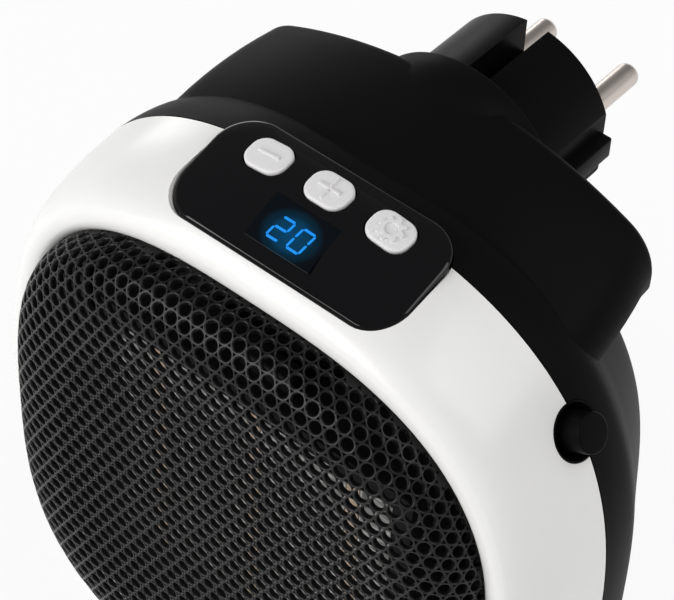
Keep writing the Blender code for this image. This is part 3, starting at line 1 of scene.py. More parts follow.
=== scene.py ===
# %% [markdown]
# # A plug-in fan heater in a small studio
# This heater plugs straight into a wall socket. A white ring holds a domed black grille and a gloss
# black control panel, and behind it a black housing carries the plug on a flat hood.
#
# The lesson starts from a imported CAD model, which fixes every size. Each cell then makes one piece with
# more detail, from a simple start shape and mesh operators, and gives it a finish made of shader nodes.

import math

import bmesh
import bpy
import numpy as np
from mathutils import Matrix, Vector


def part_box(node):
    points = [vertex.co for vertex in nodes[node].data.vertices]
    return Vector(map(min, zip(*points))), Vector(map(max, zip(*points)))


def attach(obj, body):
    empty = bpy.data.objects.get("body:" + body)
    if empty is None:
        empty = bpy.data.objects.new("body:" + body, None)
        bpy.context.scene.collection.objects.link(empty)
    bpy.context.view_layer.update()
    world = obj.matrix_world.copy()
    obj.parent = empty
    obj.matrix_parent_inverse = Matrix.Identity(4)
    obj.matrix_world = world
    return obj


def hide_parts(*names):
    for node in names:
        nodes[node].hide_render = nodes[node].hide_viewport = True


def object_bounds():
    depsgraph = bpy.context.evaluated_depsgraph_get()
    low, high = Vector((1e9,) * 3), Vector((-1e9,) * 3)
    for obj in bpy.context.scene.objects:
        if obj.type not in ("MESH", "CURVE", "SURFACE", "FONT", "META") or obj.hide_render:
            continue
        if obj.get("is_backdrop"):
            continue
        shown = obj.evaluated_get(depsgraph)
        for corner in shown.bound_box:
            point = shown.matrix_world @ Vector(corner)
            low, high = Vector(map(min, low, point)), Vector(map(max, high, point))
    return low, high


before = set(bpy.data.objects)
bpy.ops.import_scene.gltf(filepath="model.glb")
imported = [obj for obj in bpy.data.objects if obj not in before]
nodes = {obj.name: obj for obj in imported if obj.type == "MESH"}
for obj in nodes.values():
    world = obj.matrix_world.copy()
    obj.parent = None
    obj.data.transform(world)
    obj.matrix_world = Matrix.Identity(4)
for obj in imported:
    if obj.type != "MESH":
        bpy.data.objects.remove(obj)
cad_low, cad_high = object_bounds()
print("CAD box in mm:", [round(1000 * v, 1) for v in cad_high - cad_low])

# %% [markdown]
# ## A frame of reference for the case
# The origin of the model is the middle of the plug's end face. The case is easier to describe from
# the middle of its grille: x runs to the right, depth runs from the grille to the back, and height
# runs up. The boxes of a few CAD nodes give the main sizes, and one helper turns the three numbers
# into a place in the scene. GAP is the air that two touching mouldings keep between them.

# %% Places on the case
MM = 0.001
GAP = 0.3 * MM
grille_low, grille_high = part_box("front_grille")
ring_low, ring_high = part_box("front_ring")
intake_low, intake_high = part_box("intake_grille")
case_middle = Vector((0, grille_low.y, (grille_low.z + grille_high.z) / 2))
HALF_WIDTH = ring_high.x
HALF_HEIGHT = case_middle.z - ring_low.z
BACK = (intake_low.y + intake_high.y) / 2 - case_middle.y
PLUG_RISE = -case_middle.z
PLUG_DEPTH = -case_middle.y
RING_FRONT = ring_low.y - case_middle.y
RING_BACK = ring_high.y - case_middle.y


def on_case(x, depth, height):
    return case_middle + Vector((x, depth, height))


case_sizes = (HALF_WIDTH, HALF_HEIGHT, BACK)
print("case half width, half height, depth in mm:", [round(1000 * v, 1) for v in case_sizes])

# %% [markdown]
# ## Camera
# A long lens from above, in front and to the right keeps the edges of the case almost parallel, as in a
# product picture. The angles are written down instead of a target, so that the slight roll stays.

# %% Camera
CAMERA_PLACE = (193.24 * MM, -214.54 * MM, 371.27 * MM)
CAMERA_TURN = (43.367, -2.054, 40.032)
FOCAL_LENGTH = 138.17
SENSOR_WIDTH = 36
scene = bpy.context.scene
scene.view_settings.view_transform = "Standard"
lens = bpy.data.cameras.new("studio_camera")
lens.sensor_width = SENSOR_WIDTH
lens.lens = FOCAL_LENGTH
lens.clip_start = 10 * MM
camera = bpy.data.objects.new("studio_camera", lens)
scene.collection.objects.link(camera)
camera.location = on_case(*CAMERA_PLACE)
camera.rotation_euler = [math.radians(a) for a in CAMERA_TURN]
scene.camera = camera
print("camera stands", round((camera.location - case_middle).length, 3), "m from the grille")

# %% [markdown]
# ## Finishes
# Most of this heater is black, so the finishes have to differ in gloss and grain. Moulded plastic has
# a fine spark-eroded grain. One node group makes it from noise and a cell pattern, and every plastic
# takes its own grain size, depth and range of roughness from that group.

# %% The grain group
grain = bpy.data.node_groups.new("moulded_grain", "ShaderNodeTree")
for label, value in (("Grain Size", 0.4), ("Depth", 0.3), ("Smooth", 0.4), ("Rough", 0.5)):
    socket = grain.interface.new_socket(label, in_out="INPUT", socket_type="NodeSocketFloat")
    socket.default_value = value
for label in ("Height", "Roughness"):
    grain.interface.new_socket(label, in_out="OUTPUT", socket_type="NodeSocketFloat")


def node(tree, kind, place, **values):
    made = tree.nodes.new(kind)
    made.location = place
    for key, value in values.items():
        setattr(made, key, value)
    return made


def wire(tree, *links):
    """Join nodes: each link is a node, its output, the next node and its input."""
    for source, output, target, inlet in links:
        tree.links.new(source.outputs[output], target.inputs[inlet])


def colour_ramp(tree, place, stops):
    """A colour ramp from pairs of position and colour."""
    made = node(tree, "ShaderNodeValToRGB", place)
    elements = made.color_ramp.elements
    for position, colour in stops[1:-1]:
        elements.new(position)
    for element, (position, colour) in zip(elements, stops):
        element.position = position
        element.color = (*colour, 1)
    return made


entry = node(grain, "NodeGroupInput", (-900, 0))
leave = node(grain, "NodeGroupOutput", (500, 0))
where = node(grain, "ShaderNodeTexCoord", (-900, 250))
per_size = node(grain, "ShaderNodeMath", (-700, 0), operation="DIVIDE")
per_size.inputs[0].default_value = 1 / MM
fine = node(grain, "ShaderNodeTexNoise", (-450, 200))
fine.inputs["Detail"].default_value = 3
cells = node(grain, "ShaderNodeTexVoronoi", (-450, -50), feature="SMOOTH_F1")
blend = node(grain, "ShaderNodeMath", (-200, 100), operation="MULTIPLY")
deep = node(grain, "ShaderNodeMath", (0, 100), operation="MULTIPLY")
cloud = node(grain, "ShaderNodeTexNoise", (-450, -300))
cloud.inputs["Scale"].default_value = 60
cloud.inputs["Detail"].default_value = 4
span = node(grain, "ShaderNodeMapRange", (0, -250))
wire(grain, (entry, "Grain Size", per_size, 1), (per_size, 0, fine, "Scale"), (per_size, 0, cells, "Scale"),
     *((where, "Object", texture, "Vector") for texture in (fine, cells, cloud)),
     (fine, "Fac", blend, 0), (cells, "Distance", blend, 1), (blend, 0, deep, 0), (entry, "Depth", deep, 1),
     (cloud, "Fac", span, "Value"), (entry, "Smooth", span, "To Min"), (entry, "Rough", span, "To Max"),
     (deep, 0, leave, "Height"), (span, "Result", leave, "Roughness"))
print("grain group nodes:", len(grain.nodes))

# %% [markdown]
# ## A moulded plastic
# A small function places the grain group in a new material. The black parts look almost lightless
# because their colour is very dark and their shine is weak, and the panel differs from the housing
# mainly in its gloss.

# %% Plastics and metals
RELIEF = 0.02 * MM


def new_material(name, values):
    """A material with its node tree and its main shader, which takes the values."""
    material = bpy.data.materials.new(name)
    material.use_nodes = True
    shader = material.node_tree.nodes["Principled BSDF"]
    for label, value in values.items():
        shader.inputs[label].default_value = value
    return material, material.node_tree, shader


def moulded(name, colour, smooth, rough, size=0.4, depth=0.3, metallic=0.0, specular=0.5):
    material, tree, shader = new_material(name, {"Base Color": (*colour, 1), "Metallic": metallic,
                                                 "Specular IOR Level": specular})
    surface = node(tree, "ShaderNodeGroup", (-500, 0), node_tree=grain)
    for label, value in (("Grain Size", size), ("Depth", depth), ("Smooth", smooth), ("Rough", rough)):
        surface.inputs[label].default_value = value
    bump = node(tree, "ShaderNodeBump", (-250, -200))
    bump.inputs["Distance"].default_value = RELIEF
    wire(tree, (surface, "Roughness", shader, "Roughness"), (surface, "Height", bump, "Height"),
         (bump, "Normal", shader, "Normal"))
    return material


gloss_white = moulded("gloss_white_plastic", (0.82, 0.815, 0.80), 0.22, 0.28, size=1.5, depth=0.15)
button_white = moulded("white_button_plastic", (0.74, 0.73, 0.735), 0.40, 0.50, size=0.3, depth=0.15)
matt_black = moulded("matt_black_plastic", (0.0052, 0.0049, 0.0051), 0.38, 0.46, size=0.35, depth=0.7,
                     specular=0.022)
plug_black = moulded("satin_plug_plastic", (0.0045, 0.0042, 0.0048), 0.30, 0.38, size=0.4, depth=0.3,
                     specular=0.025)
panel_black = moulded("gloss_black_plastic", (0.0022, 0.0020, 0.0028), 0.05, 0.09, size=3.0, depth=0.05,
                      specular=0.35)
grille_black = moulded("satin_black_coating", (0.007, 0.007, 0.007), 0.28, 0.36, size=0.25, depth=0.4,
                       specular=0.24)
switch_black = moulded("satin_black_plastic", (0.0035, 0.0035, 0.0035), 0.28, 0.36, size=0.3, depth=0.3,
                       specular=0.03)
inner_black = moulded("heat_proof_plastic", (0.008, 0.008, 0.008), 0.45, 0.55, size=0.6, depth=0.6,
                      specular=0.3)
nickel = moulded("nickel_plate", (0.60, 0.54, 0.50), 0.28, 0.36, size=0.5, depth=0.08, metallic=1.0)
zinc = moulded("zinc_plate", (0.55, 0.55, 0.56), 0.3, 0.45, size=0.6, depth=0.5, metallic=1.0)
fin_metal = moulded("fin_aluminium", (0.88, 0.88, 0.86), 0.35, 0.50, size=0.8, depth=0.6, metallic=0.15)
ceramic = moulded("heating_ceramic", (0.74, 0.58, 0.43), 0.5, 0.7, size=0.8, depth=1.0)
board_green = moulded("circuit_board_lacquer", (0.01, 0.09, 0.03), 0.3, 0.45, size=1.2, depth=0.3)
print("finishes:", len(bpy.data.materials))

# %% [markdown]
# ## Helpers for the pieces
# A loft is a loop of edges that is extruded again and again, each new loop laid on the next outline.
# That makes the ring, the barrel, the hood and the buttons alike, because on all of them one
# outline turns slowly into another. A second helper finishes a piece: it turns the faces outwards,
# smooths them, and keeps the creases sharp.

# %% Loft by extrusion
WELD = 0.001 * MM


def loft(stations, closed=False, caps=True):
    bm = bmesh.new()
    loop = [bm.verts.new(place) for place in stations[0]]
    edges = [bm.edges.new(pair) for pair in zip(loop, loop[1:] + loop[:1])]
    first = list(edges)
    if caps and not closed:
        bm.faces.new(loop)
    for station in stations[1:]:
        made = bmesh.ops.extrude_edge_only(bm, edges=edges)["geom"]
        fresh = {item for item in made if isinstance(item, bmesh.types.BMVert)}
        loop = [next(e.other_vert(v) for e in v.link_edges if e.other_vert(v) in fresh) for v in loop]
        for vert, place in zip(loop, station):
            vert.co = place
        edges = [bm.edges.get(pair) for pair in zip(loop, loop[1:] + loop[:1])]
    if closed:
        bmesh.ops.bridge_loops(bm, edges=first + edges)
    elif caps:
        bm.faces.new(loop)
    return bm


def spun(profile, steps, matrix=None):
    """Turn a profile of radius and height round the Z axis."""
    bm = bmesh.new()
    line = [bm.verts.new((radius, 0, height)) for radius, height in profile]
    edges = [bm.edges.new(pair) for pair in zip(line, line[1:])]
    if min(radius for radius, height in profile) > 0:
        edges.append(bm.edges.new((line[-1], line[0])))
    bmesh.ops.spin(bm, geom=line + edges, cent=(0, 0, 0), axis=(0, 0, 1), angle=math.tau, steps=steps,
                   use_merge=True)
    bmesh.ops.remove_doubles(bm, verts=bm.verts, dist=WELD)
    if matrix is not None:
        bmesh.ops.transform(bm, matrix=matrix, verts=bm.verts)
    return bm


def linked(bm, name):
    """Turn a bmesh into an object of the scene."""
    made = bpy.data.objects.new(name, bpy.data.meshes.new(name))
    bm.to_mesh(made.data)
    bm.free()
    scene.collection.objects.link(made)
    return made


def solid(bm, name):
    """Weld, turn the faces outwards and link the object."""
    bmesh.ops.remove_doubles(bm, verts=bm.verts, dist=WELD)
    bmesh.ops.recalc_face_normals(bm, faces=bm.faces)
    if bm.calc_volume(signed=True) < 0:
        bmesh.ops.reverse_faces(bm, faces=bm.faces)
    return linked(bm, name)


def dressed(piece, material, body, stands_for=(), crease=32):
    piece.data.materials.clear()
    piece.data.materials.append(material)
    for face in piece.data.polygons:
        face.use_smooth = True
        face.material_index = 0
    piece.data.set_sharp_from_angle(angle=math.radians(crease))
    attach(piece, body)
    if stands_for:
        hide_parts(*stands_for)
    print(piece.name, "faces:", len(piece.data.polygons))
    return piece


def carved(piece, *cuts):
    """Join or cut a piece with others, then keep only the result."""
    for tool, operation in cuts:
        modifier = piece.modifiers.new(tool.name, "BOOLEAN")
        modifier.solver = "EXACT"
        modifier.operation = operation
        modifier.object = tool
    reached = piece.evaluated_get(bpy.context.evaluated_depsgraph_get())
    mesh = bpy.data.meshes.new_from_object(reached)
    piece.modifiers.clear()
    piece.data = mesh
    for tool, operation in cuts:
        bpy.data.objects.remove(tool)
    return piece


print("points closer together than this are welded, in metres:", WELD)

# %% [markdown]
# ## Outlines
# Seen from the front the case is a rounded square with a soft, constant change of curvature. A
# superellipse gives that from three numbers, where arcs and straight lines would show their joints. The
# panel, the buttons and the hood have true corner arcs.

# %% Outline helpers
RING_SIDE = 9.6 * MM
RING_TOP = 11.7 * MM
CASE_SQUARENESS = 2.67
OPENING_SQUARENESS = 2.92
CASE = (HALF_WIDTH, HALF_HEIGHT, CASE_SQUARENESS)
OPENING = (HALF_WIDTH - RING_SIDE, HALF_HEIGHT - RING_TOP, OPENING_SQUARENESS)


def smooth_square(half_width, half_height, squareness, count=192):
    """A superellipse: 2 is an ellipse, and larger numbers are squarer."""
    points = []
    for step in range(count):
        turn = math.tau * (step + 0.5) / count
        across = math.copysign(abs(math.cos(turn)) ** (2 / squareness), math.cos(turn))
        up = math.copysign(abs(math.sin(turn)) ** (2 / squareness), math.sin(turn))
        points.append((half_width * across, half_height * up))
    return points


def round_corners(half_width, half_length, radius, steps=8):
    """A rectangle with a true arc at each corner."""
    points = []
    for quarter, (side, end) in enumerate(((1, 1), (-1, 1), (-1, -1), (1, -1))):
        for step in range(steps + 1):
            turn = math.pi / 2 * (quarter + step / steps)
            points.append((side * (half_width - radius) + radius * math.cos(turn),
                           end * (half_length - radius) + radius * math.sin(turn)))
    return points


def standing(outline, depth):
    return [on_case(x, depth, height) for x, height in outline]


def quarter_round(reach, level, radius, count):
    """Profile of a rounded edge on a turned piece, from its end face to its side."""
    return [(reach - radius * (1 - math.sin(a)), level - radius * (1 - math.cos(a)))
            for a in np.linspace(0, math.pi / 2, count)]


def smooth_line(points, count):
    """A soft curve through a few points, evenly spaced along it."""
    points = np.array(points, float)
    padded = np.vstack([2 * points[0] - points[1], points, 2 * points[-1] - points[-2]])
    places = []
    for part in np.linspace(0, len(points) - 1 - 1e-9, count):
        i, t = int(part), part - int(part)
        p0, p1, p2, p3 = padded[i:i + 4]
        places.append(0.5 * (2 * p1 + (p2 - p0) * t + (2 * p0 - 5 * p1 + 4 * p2 - p3) * t ** 2
                             + (3 * p1 - p0 - 3 * p2 + p3) * t ** 3))
    return places


print("opening in mm:", [round(2000 * size, 1) for size in OPENING[:2]])

# %% [markdown]
# ## Panel surface
# The control panel follows the top of the case: it curves down towards the front and arches a little
# from side to side. Its height is one formula of two circles, so that the plate, the buttons, the
# window and the digits all lie on the same surface.

# %% Height of the panel
PANEL_CURVE = 44.2 * MM
PANEL_ARCH = 136 * MM
CREST_DEPTH = 37.5 * MM
CREST_RISE = 1.8 * MM
CREST_HEIGHT = HALF_HEIGHT + CREST_RISE


def panel_slope(depth):
    return math.asin((CREST_DEPTH - depth) / PANEL_CURVE)


def panel_lean(x):
    return math.asin(x / PANEL_ARCH)


def on_panel(x, depth, above=0.0):
    """Place on the panel, lifted along the panel's own normal."""
    slope, lean = panel_slope(depth), panel_lean(x)
    height = CREST_HEIGHT - PANEL_CURVE * (1 - math.cos(slope)) - PANEL_ARCH * (1 - math.cos(lean))
    normal = Vector((math.sin(lean), -math.sin(slope), math.cos(slope))).normalized()
    return on_case(x, depth, height) + normal * above


def panel_place(x, depth):
    """Matrix that lays a flat shape on the panel."""
    turn = Matrix.Rotation(panel_lean(x), 4, "Y") @ Matrix.Rotation(panel_slope(depth), 4, "X")
    return Matrix.Translation(on_panel(x, depth)) @ turn


panel_low, panel_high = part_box("control_panel")
PANEL_FRONT = panel_low.y - case_middle.y
PANEL_BACK = panel_high.y - case_middle.y
PANEL_MIDDLE = (PANEL_FRONT + PANEL_BACK) / 2
PANEL_HALF = (panel_high.x, (PANEL_BACK - PANEL_FRONT) / 2)
PANEL_CORNER = 7.2 * MM
PANEL_CORNER_STEPS = 12
print("panel slope at its front in degrees:", round(math.degrees(panel_slope(PANEL_FRONT)), 1))

# %% [markdown]
# ## Seats for the panel and the switch
# The ring and the housing share two openings: the shallow seat of the panel and the round well of
# the power switch. Each is a cutter made once for each of the two mouldings.

# %% Cutters for the panel's seat and the switch's well
SEAT_DEPTH = 2.0 * MM
SEAT_LEDGE = 0.8 * MM
SEAT_THROUGH = 14 * MM
SEAT_ABOVE = 5 * MM
bezel_low, bezel_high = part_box("switch_bezel")
SWITCH_DEPTH = (bezel_low.y + bezel_high.y) / 2 - case_middle.y
SWITCH_TURN = math.radians(33.0)
SEAT_ANGLE = math.radians(37.2)
SWITCH_STEPS = 96
WELL_RADIUS = (bezel_high.y - bezel_low.y) / 2 + GAP
WELL_REACH = (8 * MM, -16 * MM)


def panel_prism(name, grow, low, high):
    half_width, half_length = PANEL_HALF[0] + grow, PANEL_HALF[1] + grow
    outline = round_corners(half_width, half_length, PANEL_CORNER + grow, PANEL_CORNER_STEPS)
    ends = [[on_panel(x, PANEL_MIDDLE + y, level) for x, y in outline] for level in (low, high)]
    return solid(loft(ends), name)


switch_seat = on_case(CASE[0] * math.cos(SEAT_ANGLE) ** (2 / CASE[2]), SWITCH_DEPTH,
                      CASE[1] * math.sin(SEAT_ANGLE) ** (2 / CASE[2]))
switch_place = Matrix.Translation(switch_seat) @ Matrix.Rotation(math.pi / 2 - SWITCH_TURN, 4, "Y")


def openings():
    """Panel seat, panel window and switch well, ready for a Boolean."""
    high, low = WELL_REACH
    profile = [(0, high), (WELL_RADIUS, high), (WELL_RADIUS, low), (0, low)]
    well = solid(spun(profile, SWITCH_STEPS, switch_place), "well")
    return [(panel_prism("panel_seat", GAP, -SEAT_DEPTH, SEAT_ABOVE), "DIFFERENCE"),
            (panel_prism("panel_window", -SEAT_LEDGE, -SEAT_THROUGH, SEAT_ABOVE), "DIFFERENCE"),
            (well, "DIFFERENCE")]


print("switch seat:", [round(v, 4) for v in switch_seat])

# %% [markdown]
# ## White front ring
# The ring is one gloss moulding. From the opening it turns over a narrow lip and swells back to the
# full size of the case. Each step of the loft moves a little way from the opening's outline to the
# case's outline. Half way down its sides the ring swells forward a little more than it does at the
# corners, so each point's depth also depends on its height.

# %% Front ring
RING_STATIONS = 36
RING_BOW = 1.2 * MM
BOW_MIDDLE = -5 * MM
BOW_REACH = 36 * MM
# Share of the way from the opening to the case, and share of the way from the ring's front to its back
CORNER_SHARES = ((0.00, 0.055), (0.05, 0.028), (0.12, 0.008), (0.22, 0.0), (0.34, 0.004), (0.43, 0.022),
                 (0.52, 0.055), (0.66, 0.148), (0.79, 0.310), (0.88, 0.495), (0.955, 0.735), (1.00, 1.00))
SIDE_SHARES = ((0.00, 0.045), (0.05, 0.018), (0.12, 0.002), (0.22, 0.0), (0.34, 0.0), (0.43, 0.004),
               (0.52, 0.016), (0.66, 0.070), (0.79, 0.200), (0.88, 0.380), (0.955, 0.64), (1.00, 1.00))
INNER_SHARES = ((0.765, 1.00), (0.66, 0.60), (0.50, 0.32), (0.17, 0.17), (0.0, 0.17))
corner_line = smooth_line(CORNER_SHARES, RING_STATIONS)
side_line = smooth_line(SIDE_SHARES, RING_STATIONS)


def side_share(height):
    return max(0.0, 1 - ((height - BOW_MIDDLE) / BOW_REACH) ** 2) ** 2


def ring_station(growth, at_corner, at_side):
    sizes = [a + growth * (b - a) for a, b in zip(OPENING, CASE)]
    places = []
    for x, height in smooth_square(*sizes):
        side = side_share(height)
        share = at_corner + side * (at_side - at_corner)
        front = RING_FRONT - RING_BOW * side
        places.append(on_case(x, front + share * (RING_BACK - front), height))
    return places


stations = [ring_station((a[0] + b[0]) / 2, a[1], b[1]) for a, b in zip(corner_line, side_line)]
stations += [ring_station(growth, share, share) for growth, share in INNER_SHARES]
ring = carved(solid(loft(stations, closed=True), "ring_moulding"), *openings())
dressed(ring, gloss_white, "case", ["front_ring"])

# %% [markdown]
# ## Domed grille
# A stamped sheet with more than a thousand round holes. The holes sit in a hexagonal pattern that was
# punched while the sheet was flat, and then the rim was drawn back, so the holes stay round on the
# slope. The mesh is made the same way: flat six-sided cells are inset into round holes, the floor of
# each hole is taken out, and last of all every point is laid over the dome by its distance along it.

# %% The flat perforated sheet
PITCH = 3.13 * MM
HOLE = 1.17 * MM
# Radius beyond the hole's own and level behind the front, from the web's crest into the hole
HOLE_STEPS = ((0.25 * MM, 0.0), (0.16 * MM, 0.035 * MM), (0.08 * MM, 0.11 * MM), (0.02 * MM, 0.25 * MM),
              (0.0, 1.1 * MM))
SOLID_RIM_SHARE = 0.014
SHEET_MARGIN_SHARE = 1.02
FLAT_SHARE = 0.69
DOME_POWER = 2.7
DOME_DEPTH = 11.5 * MM
DOME_STEPS = 400
CELL_WELD = 50 * WELD
mean_half = (OPENING[0] + OPENING[1]) / 2
way = np.linspace(0, 1, DOME_STEPS)
fall = DOME_DEPTH * (1 - (1 - way ** DOME_POWER) ** (1 / DOME_POWER))
run = (1 - FLAT_SHARE) * mean_half * way
walked = np.concatenate([[0], np.cumsum(np.hypot(np.diff(run), np.diff(fall)))])
sheet_share = FLAT_SHARE + walked[-1] / mean_half
print("flat sheet is larger than the opening by", round(sheet_share, 3))


def share_of(x, height):
    """0 in the middle of the grille and 1 on the outline of the opening."""
    half_width, half_height, power = OPENING
    return ((abs(x) / half_width) ** power + (abs(height) / half_height) ** power) ** (1 / power)


sheet = bmesh.new()
rise = PITCH * math.sqrt(3) / 2
rows = int(OPENING[1] * sheet_share / rise) + 1
columns = int(OPENING[0] * sheet_share / PITCH) + 1
for row in range(-rows, rows + 1):
    for column in range(-columns, columns + 1):
        x, height = (column + 0.5 * (row % 2)) * PITCH, row * rise
        if share_of(x, height) < sheet_share * SHEET_MARGIN_SHARE:
            place = Matrix.Translation((x, height, 0)) @ Matrix.Rotation(math.pi / 6, 4, "Z")
            bmesh.ops.create_circle(sheet, cap_ends=True, segments=6, radius=PITCH / math.sqrt(3),
                                    matrix=place)
bmesh.ops.remove_doubles(sheet, verts=sheet.verts, dist=CELL_WELD)
bmesh.ops.subdivide_edges(sheet, edges=sheet.edges, cuts=1)
holes = [face for face in sheet.faces
         if share_of(*face.calc_center_median().xy) < sheet_share - SOLID_RIM_SHARE]
centres = {face: face.calc_center_median() for face in holes}
print("holes:", len(holes))

# %% [markdown]
# Each cell now has twelve corners. Every step insets it once and moves the new corners onto a circle, a
# little smaller and deeper than the last one, so that the web between the holes gets a rounded crest.

# %% Round the holes
FIRST_INSET = 0.1 * MM
NEXT_INSET = 2 * WELD
inset = FIRST_INSET
for beyond, level in HOLE_STEPS:
    bmesh.ops.inset_individual(sheet, faces=holes, thickness=inset)
    inset = NEXT_INSET
    for face in holes:
        middle = centres[face]
        for vert in face.verts:
            out = vert.co - middle
            out.z = 0
            out = out.normalized() * (HOLE + beyond)
            vert.co = (middle.x + out.x, middle.y + out.y, level)
bmesh.ops.delete(sheet, geom=holes, context="FACES_ONLY")
print("grille faces:", len(sheet.faces))

# %% [markdown]
# A point keeps its direction from the middle, and its distance along the sheet becomes a distance along
# the dome's curve. Points inside the holes go back along the dome's own normal, not straight back.


# %% Draw the sheet over the dome
def on_dome(x, height, inside):
    share = share_of(x, height)
    if share <= FLAT_SHARE:
        return on_case(x, inside, height)
    path = (min(share, sheet_share) - FLAT_SHARE) * mean_half
    part = float(np.interp(path, walked, way))
    depth = float(np.interp(part, way, fall))
    i = min(int(part * (len(way) - 1)), len(way) - 2)
    along, down = run[i + 1] - run[i], fall[i + 1] - fall[i]
    length = math.hypot(along, down)
    reached = FLAT_SHARE + (1 - FLAT_SHARE) * part - inside * down / length / mean_half
    scale = reached / share
    return on_case(x * scale, depth + inside * along / length, height * scale)


for vert in sheet.verts:
    vert.co = on_dome(*vert.co)
bmesh.ops.recalc_face_normals(sheet, faces=sheet.faces)
if max(sheet.faces, key=lambda face: face.calc_area()).normal.y > 0:
    bmesh.ops.reverse_faces(sheet, faces=sheet.faces)
dressed(linked(sheet, "perforated_grille"), grille_black, "case", ["front_grille"], crease=75)

# %% [markdown]
# ## Black housing
# The barrel behind the ring runs back as a short band, turns over a soft crease and tapers to a flat
# back. The hood runs straight back from it and ends flush with the back, and a round boss carries
# the plug. The real one is a single moulding, so the three forms are joined by a Boolean.

# %% Barrel
HOUSING_FRONT = RING_BACK + GAP
WALL = 2.4 * MM
CAVITY_RUN = BACK - WALL - HOUSING_FRONT + SEAT_DEPTH
BARREL_STATIONS = 56
# Share of the case's outline, and share of the way from the front of the form to its back
BARREL_SHARES = ((1.0, 0.0), (0.9975, 0.10), (0.9905, 0.20), (0.979, 0.285), (0.958, 0.36), (0.9235, 0.46),
                 (0.868, 0.63), (0.790, 0.87), (0.755, 0.94), (0.715, 0.985), (0.67, 1.0))
CAVITY_SHARES = ((1.0, 0.0), (0.9965, 0.14), (0.9875, 0.25), (0.973, 0.35), (0.94, 0.47), (0.788, 0.94),
                 (0.745, 1.0))
barrel_line = smooth_line(BARREL_SHARES, BARREL_STATIONS)


def case_outline(size, depth, wall=0.0):
    return standing(smooth_square((CASE[0] - wall) * size, (CASE[1] - wall) * size, CASE[2]), depth)


barrel = [case_outline(size, HOUSING_FRONT + share * (BACK - HOUSING_FRONT)) for size, share in barrel_line]
housing = solid(loft(barrel), "housing_moulding")
cavity = [case_outline(size, HOUSING_FRONT - SEAT_DEPTH + share * CAVITY_RUN, WALL)
          for size, share in CAVITY_SHARES]
print("barrel rings:", len(barrel))

# %% [markdown]
# The hood is an arch with two round shoulders. It is a little wider and lower where it grows out of
# the barrel, where its sides also tuck in below. Seen from the side its back edge is a small round.

# %% Hood
HOOD_SETBACK = 18.9 * MM
HOOD_RISE = 1.7 * MM
HOOD_HEIGHT = 20.4 * MM
HOOD_START = 6.9 * MM
HOOD_HALF = HALF_WIDTH - HOOD_SETBACK
HOOD_TOP = HALF_HEIGHT + HOOD_RISE
HOOD_FLOOR = HOOD_TOP - HOOD_HEIGHT
HOOD_FRONT = RING_BACK + HOOD_START
HOOD_DROP = 3.2 * MM
HOOD_FLARE = 3.1 * MM
HOOD_SWELL = 0.9 * MM
HOOD_TUCK_SHARE = 0.75
HOOD_EDGE = 2.2 * MM
ARCH_RISE = 11.3 * MM
ARCH = (HOOD_HALF ** 2 + ARCH_RISE ** 2) / (2 * ARCH_RISE)
SHOULDER = 10.5 * MM
SKIRT = 0.6 * MM
LEAST_SKIRT = 0.4 * MM
HOLLOW_END = BACK - 1.6 * WALL
ARCH_STEPS = 20
SHOULDER_STEPS = 12
SKIRT_STEPS = 4
HOOD_STATIONS = 9
EDGE_STATIONS = 7


def hood_outline(inset, drop, flare=0.0):
    """The hood seen from the front, as one loop that starts at the top."""
    half_width, shoulder, arch = HOOD_HALF + flare - inset, SHOULDER - inset, ARCH - inset
    centre = HOOD_TOP - drop - ARCH
    spread = math.asin((half_width - shoulder) / (arch - shoulder))
    shoulder_up = centre + (arch - shoulder) * math.cos(spread)
    skirt = max(SKIRT - inset, LEAST_SKIRT)
    floor = min(HOOD_FLOOR + inset, shoulder_up - 2 * skirt)
    half = []
    for i in range(ARCH_STEPS + 1):
        turn = spread * i / ARCH_STEPS
        half.append((arch * math.sin(turn), centre + arch * math.cos(turn)))
    for i in range(1, SHOULDER_STEPS + 1):
        turn = spread + (math.pi / 2 - spread) * i / SHOULDER_STEPS
        half.append((half_width - shoulder + shoulder * math.sin(turn),
                     shoulder_up + shoulder * math.cos(turn)))
    tucked = half_width - HOOD_TUCK_SHARE * flare
    for i in range(SKIRT_STEPS + 1):
        turn = math.pi / 2 * (1 + i / SKIRT_STEPS)
        half.append((tucked - skirt + skirt * math.sin(turn), floor + skirt + skirt * math.cos(turn)))
    return half + [(-x, height) for x, height in half[:0:-1]]


stations = []
for share in np.linspace(1, 0, HOOD_STATIONS):
    depth = BACK - HOOD_EDGE - share * (BACK - HOOD_EDGE - HOOD_FRONT)
    flare = HOOD_FLARE * share + HOOD_SWELL * 4 * share * (1 - share)
    stations.append(standing(hood_outline(0, HOOD_DROP * share ** 2, flare), depth))
for turn in np.linspace(0, math.pi / 2, EDGE_STATIONS)[1:]:
    outline = hood_outline(HOOD_EDGE * (1 - math.cos(turn)), 0)
    stations.append(standing(outline, BACK - HOOD_EDGE + HOOD_EDGE * math.sin(turn)))
hood = solid(loft(stations), "hood")
hood_hollow = solid(loft([standing(hood_outline(WALL, HOOD_DROP), HOOD_FRONT + WALL),
                          standing(hood_outline(WALL, 0), HOLLOW_END)]), "hood_hollow")
print("hood half width and top in mm:", round(1000 * HOOD_HALF, 1), round(1000 * HOOD_TOP, 1))

# %% [markdown]
# The boss is a turned shape whose nose fades into the hood. Behind the plug it has a pocket, and the
# back of the case has a round seat for the air intake and four sunk seats for screws.

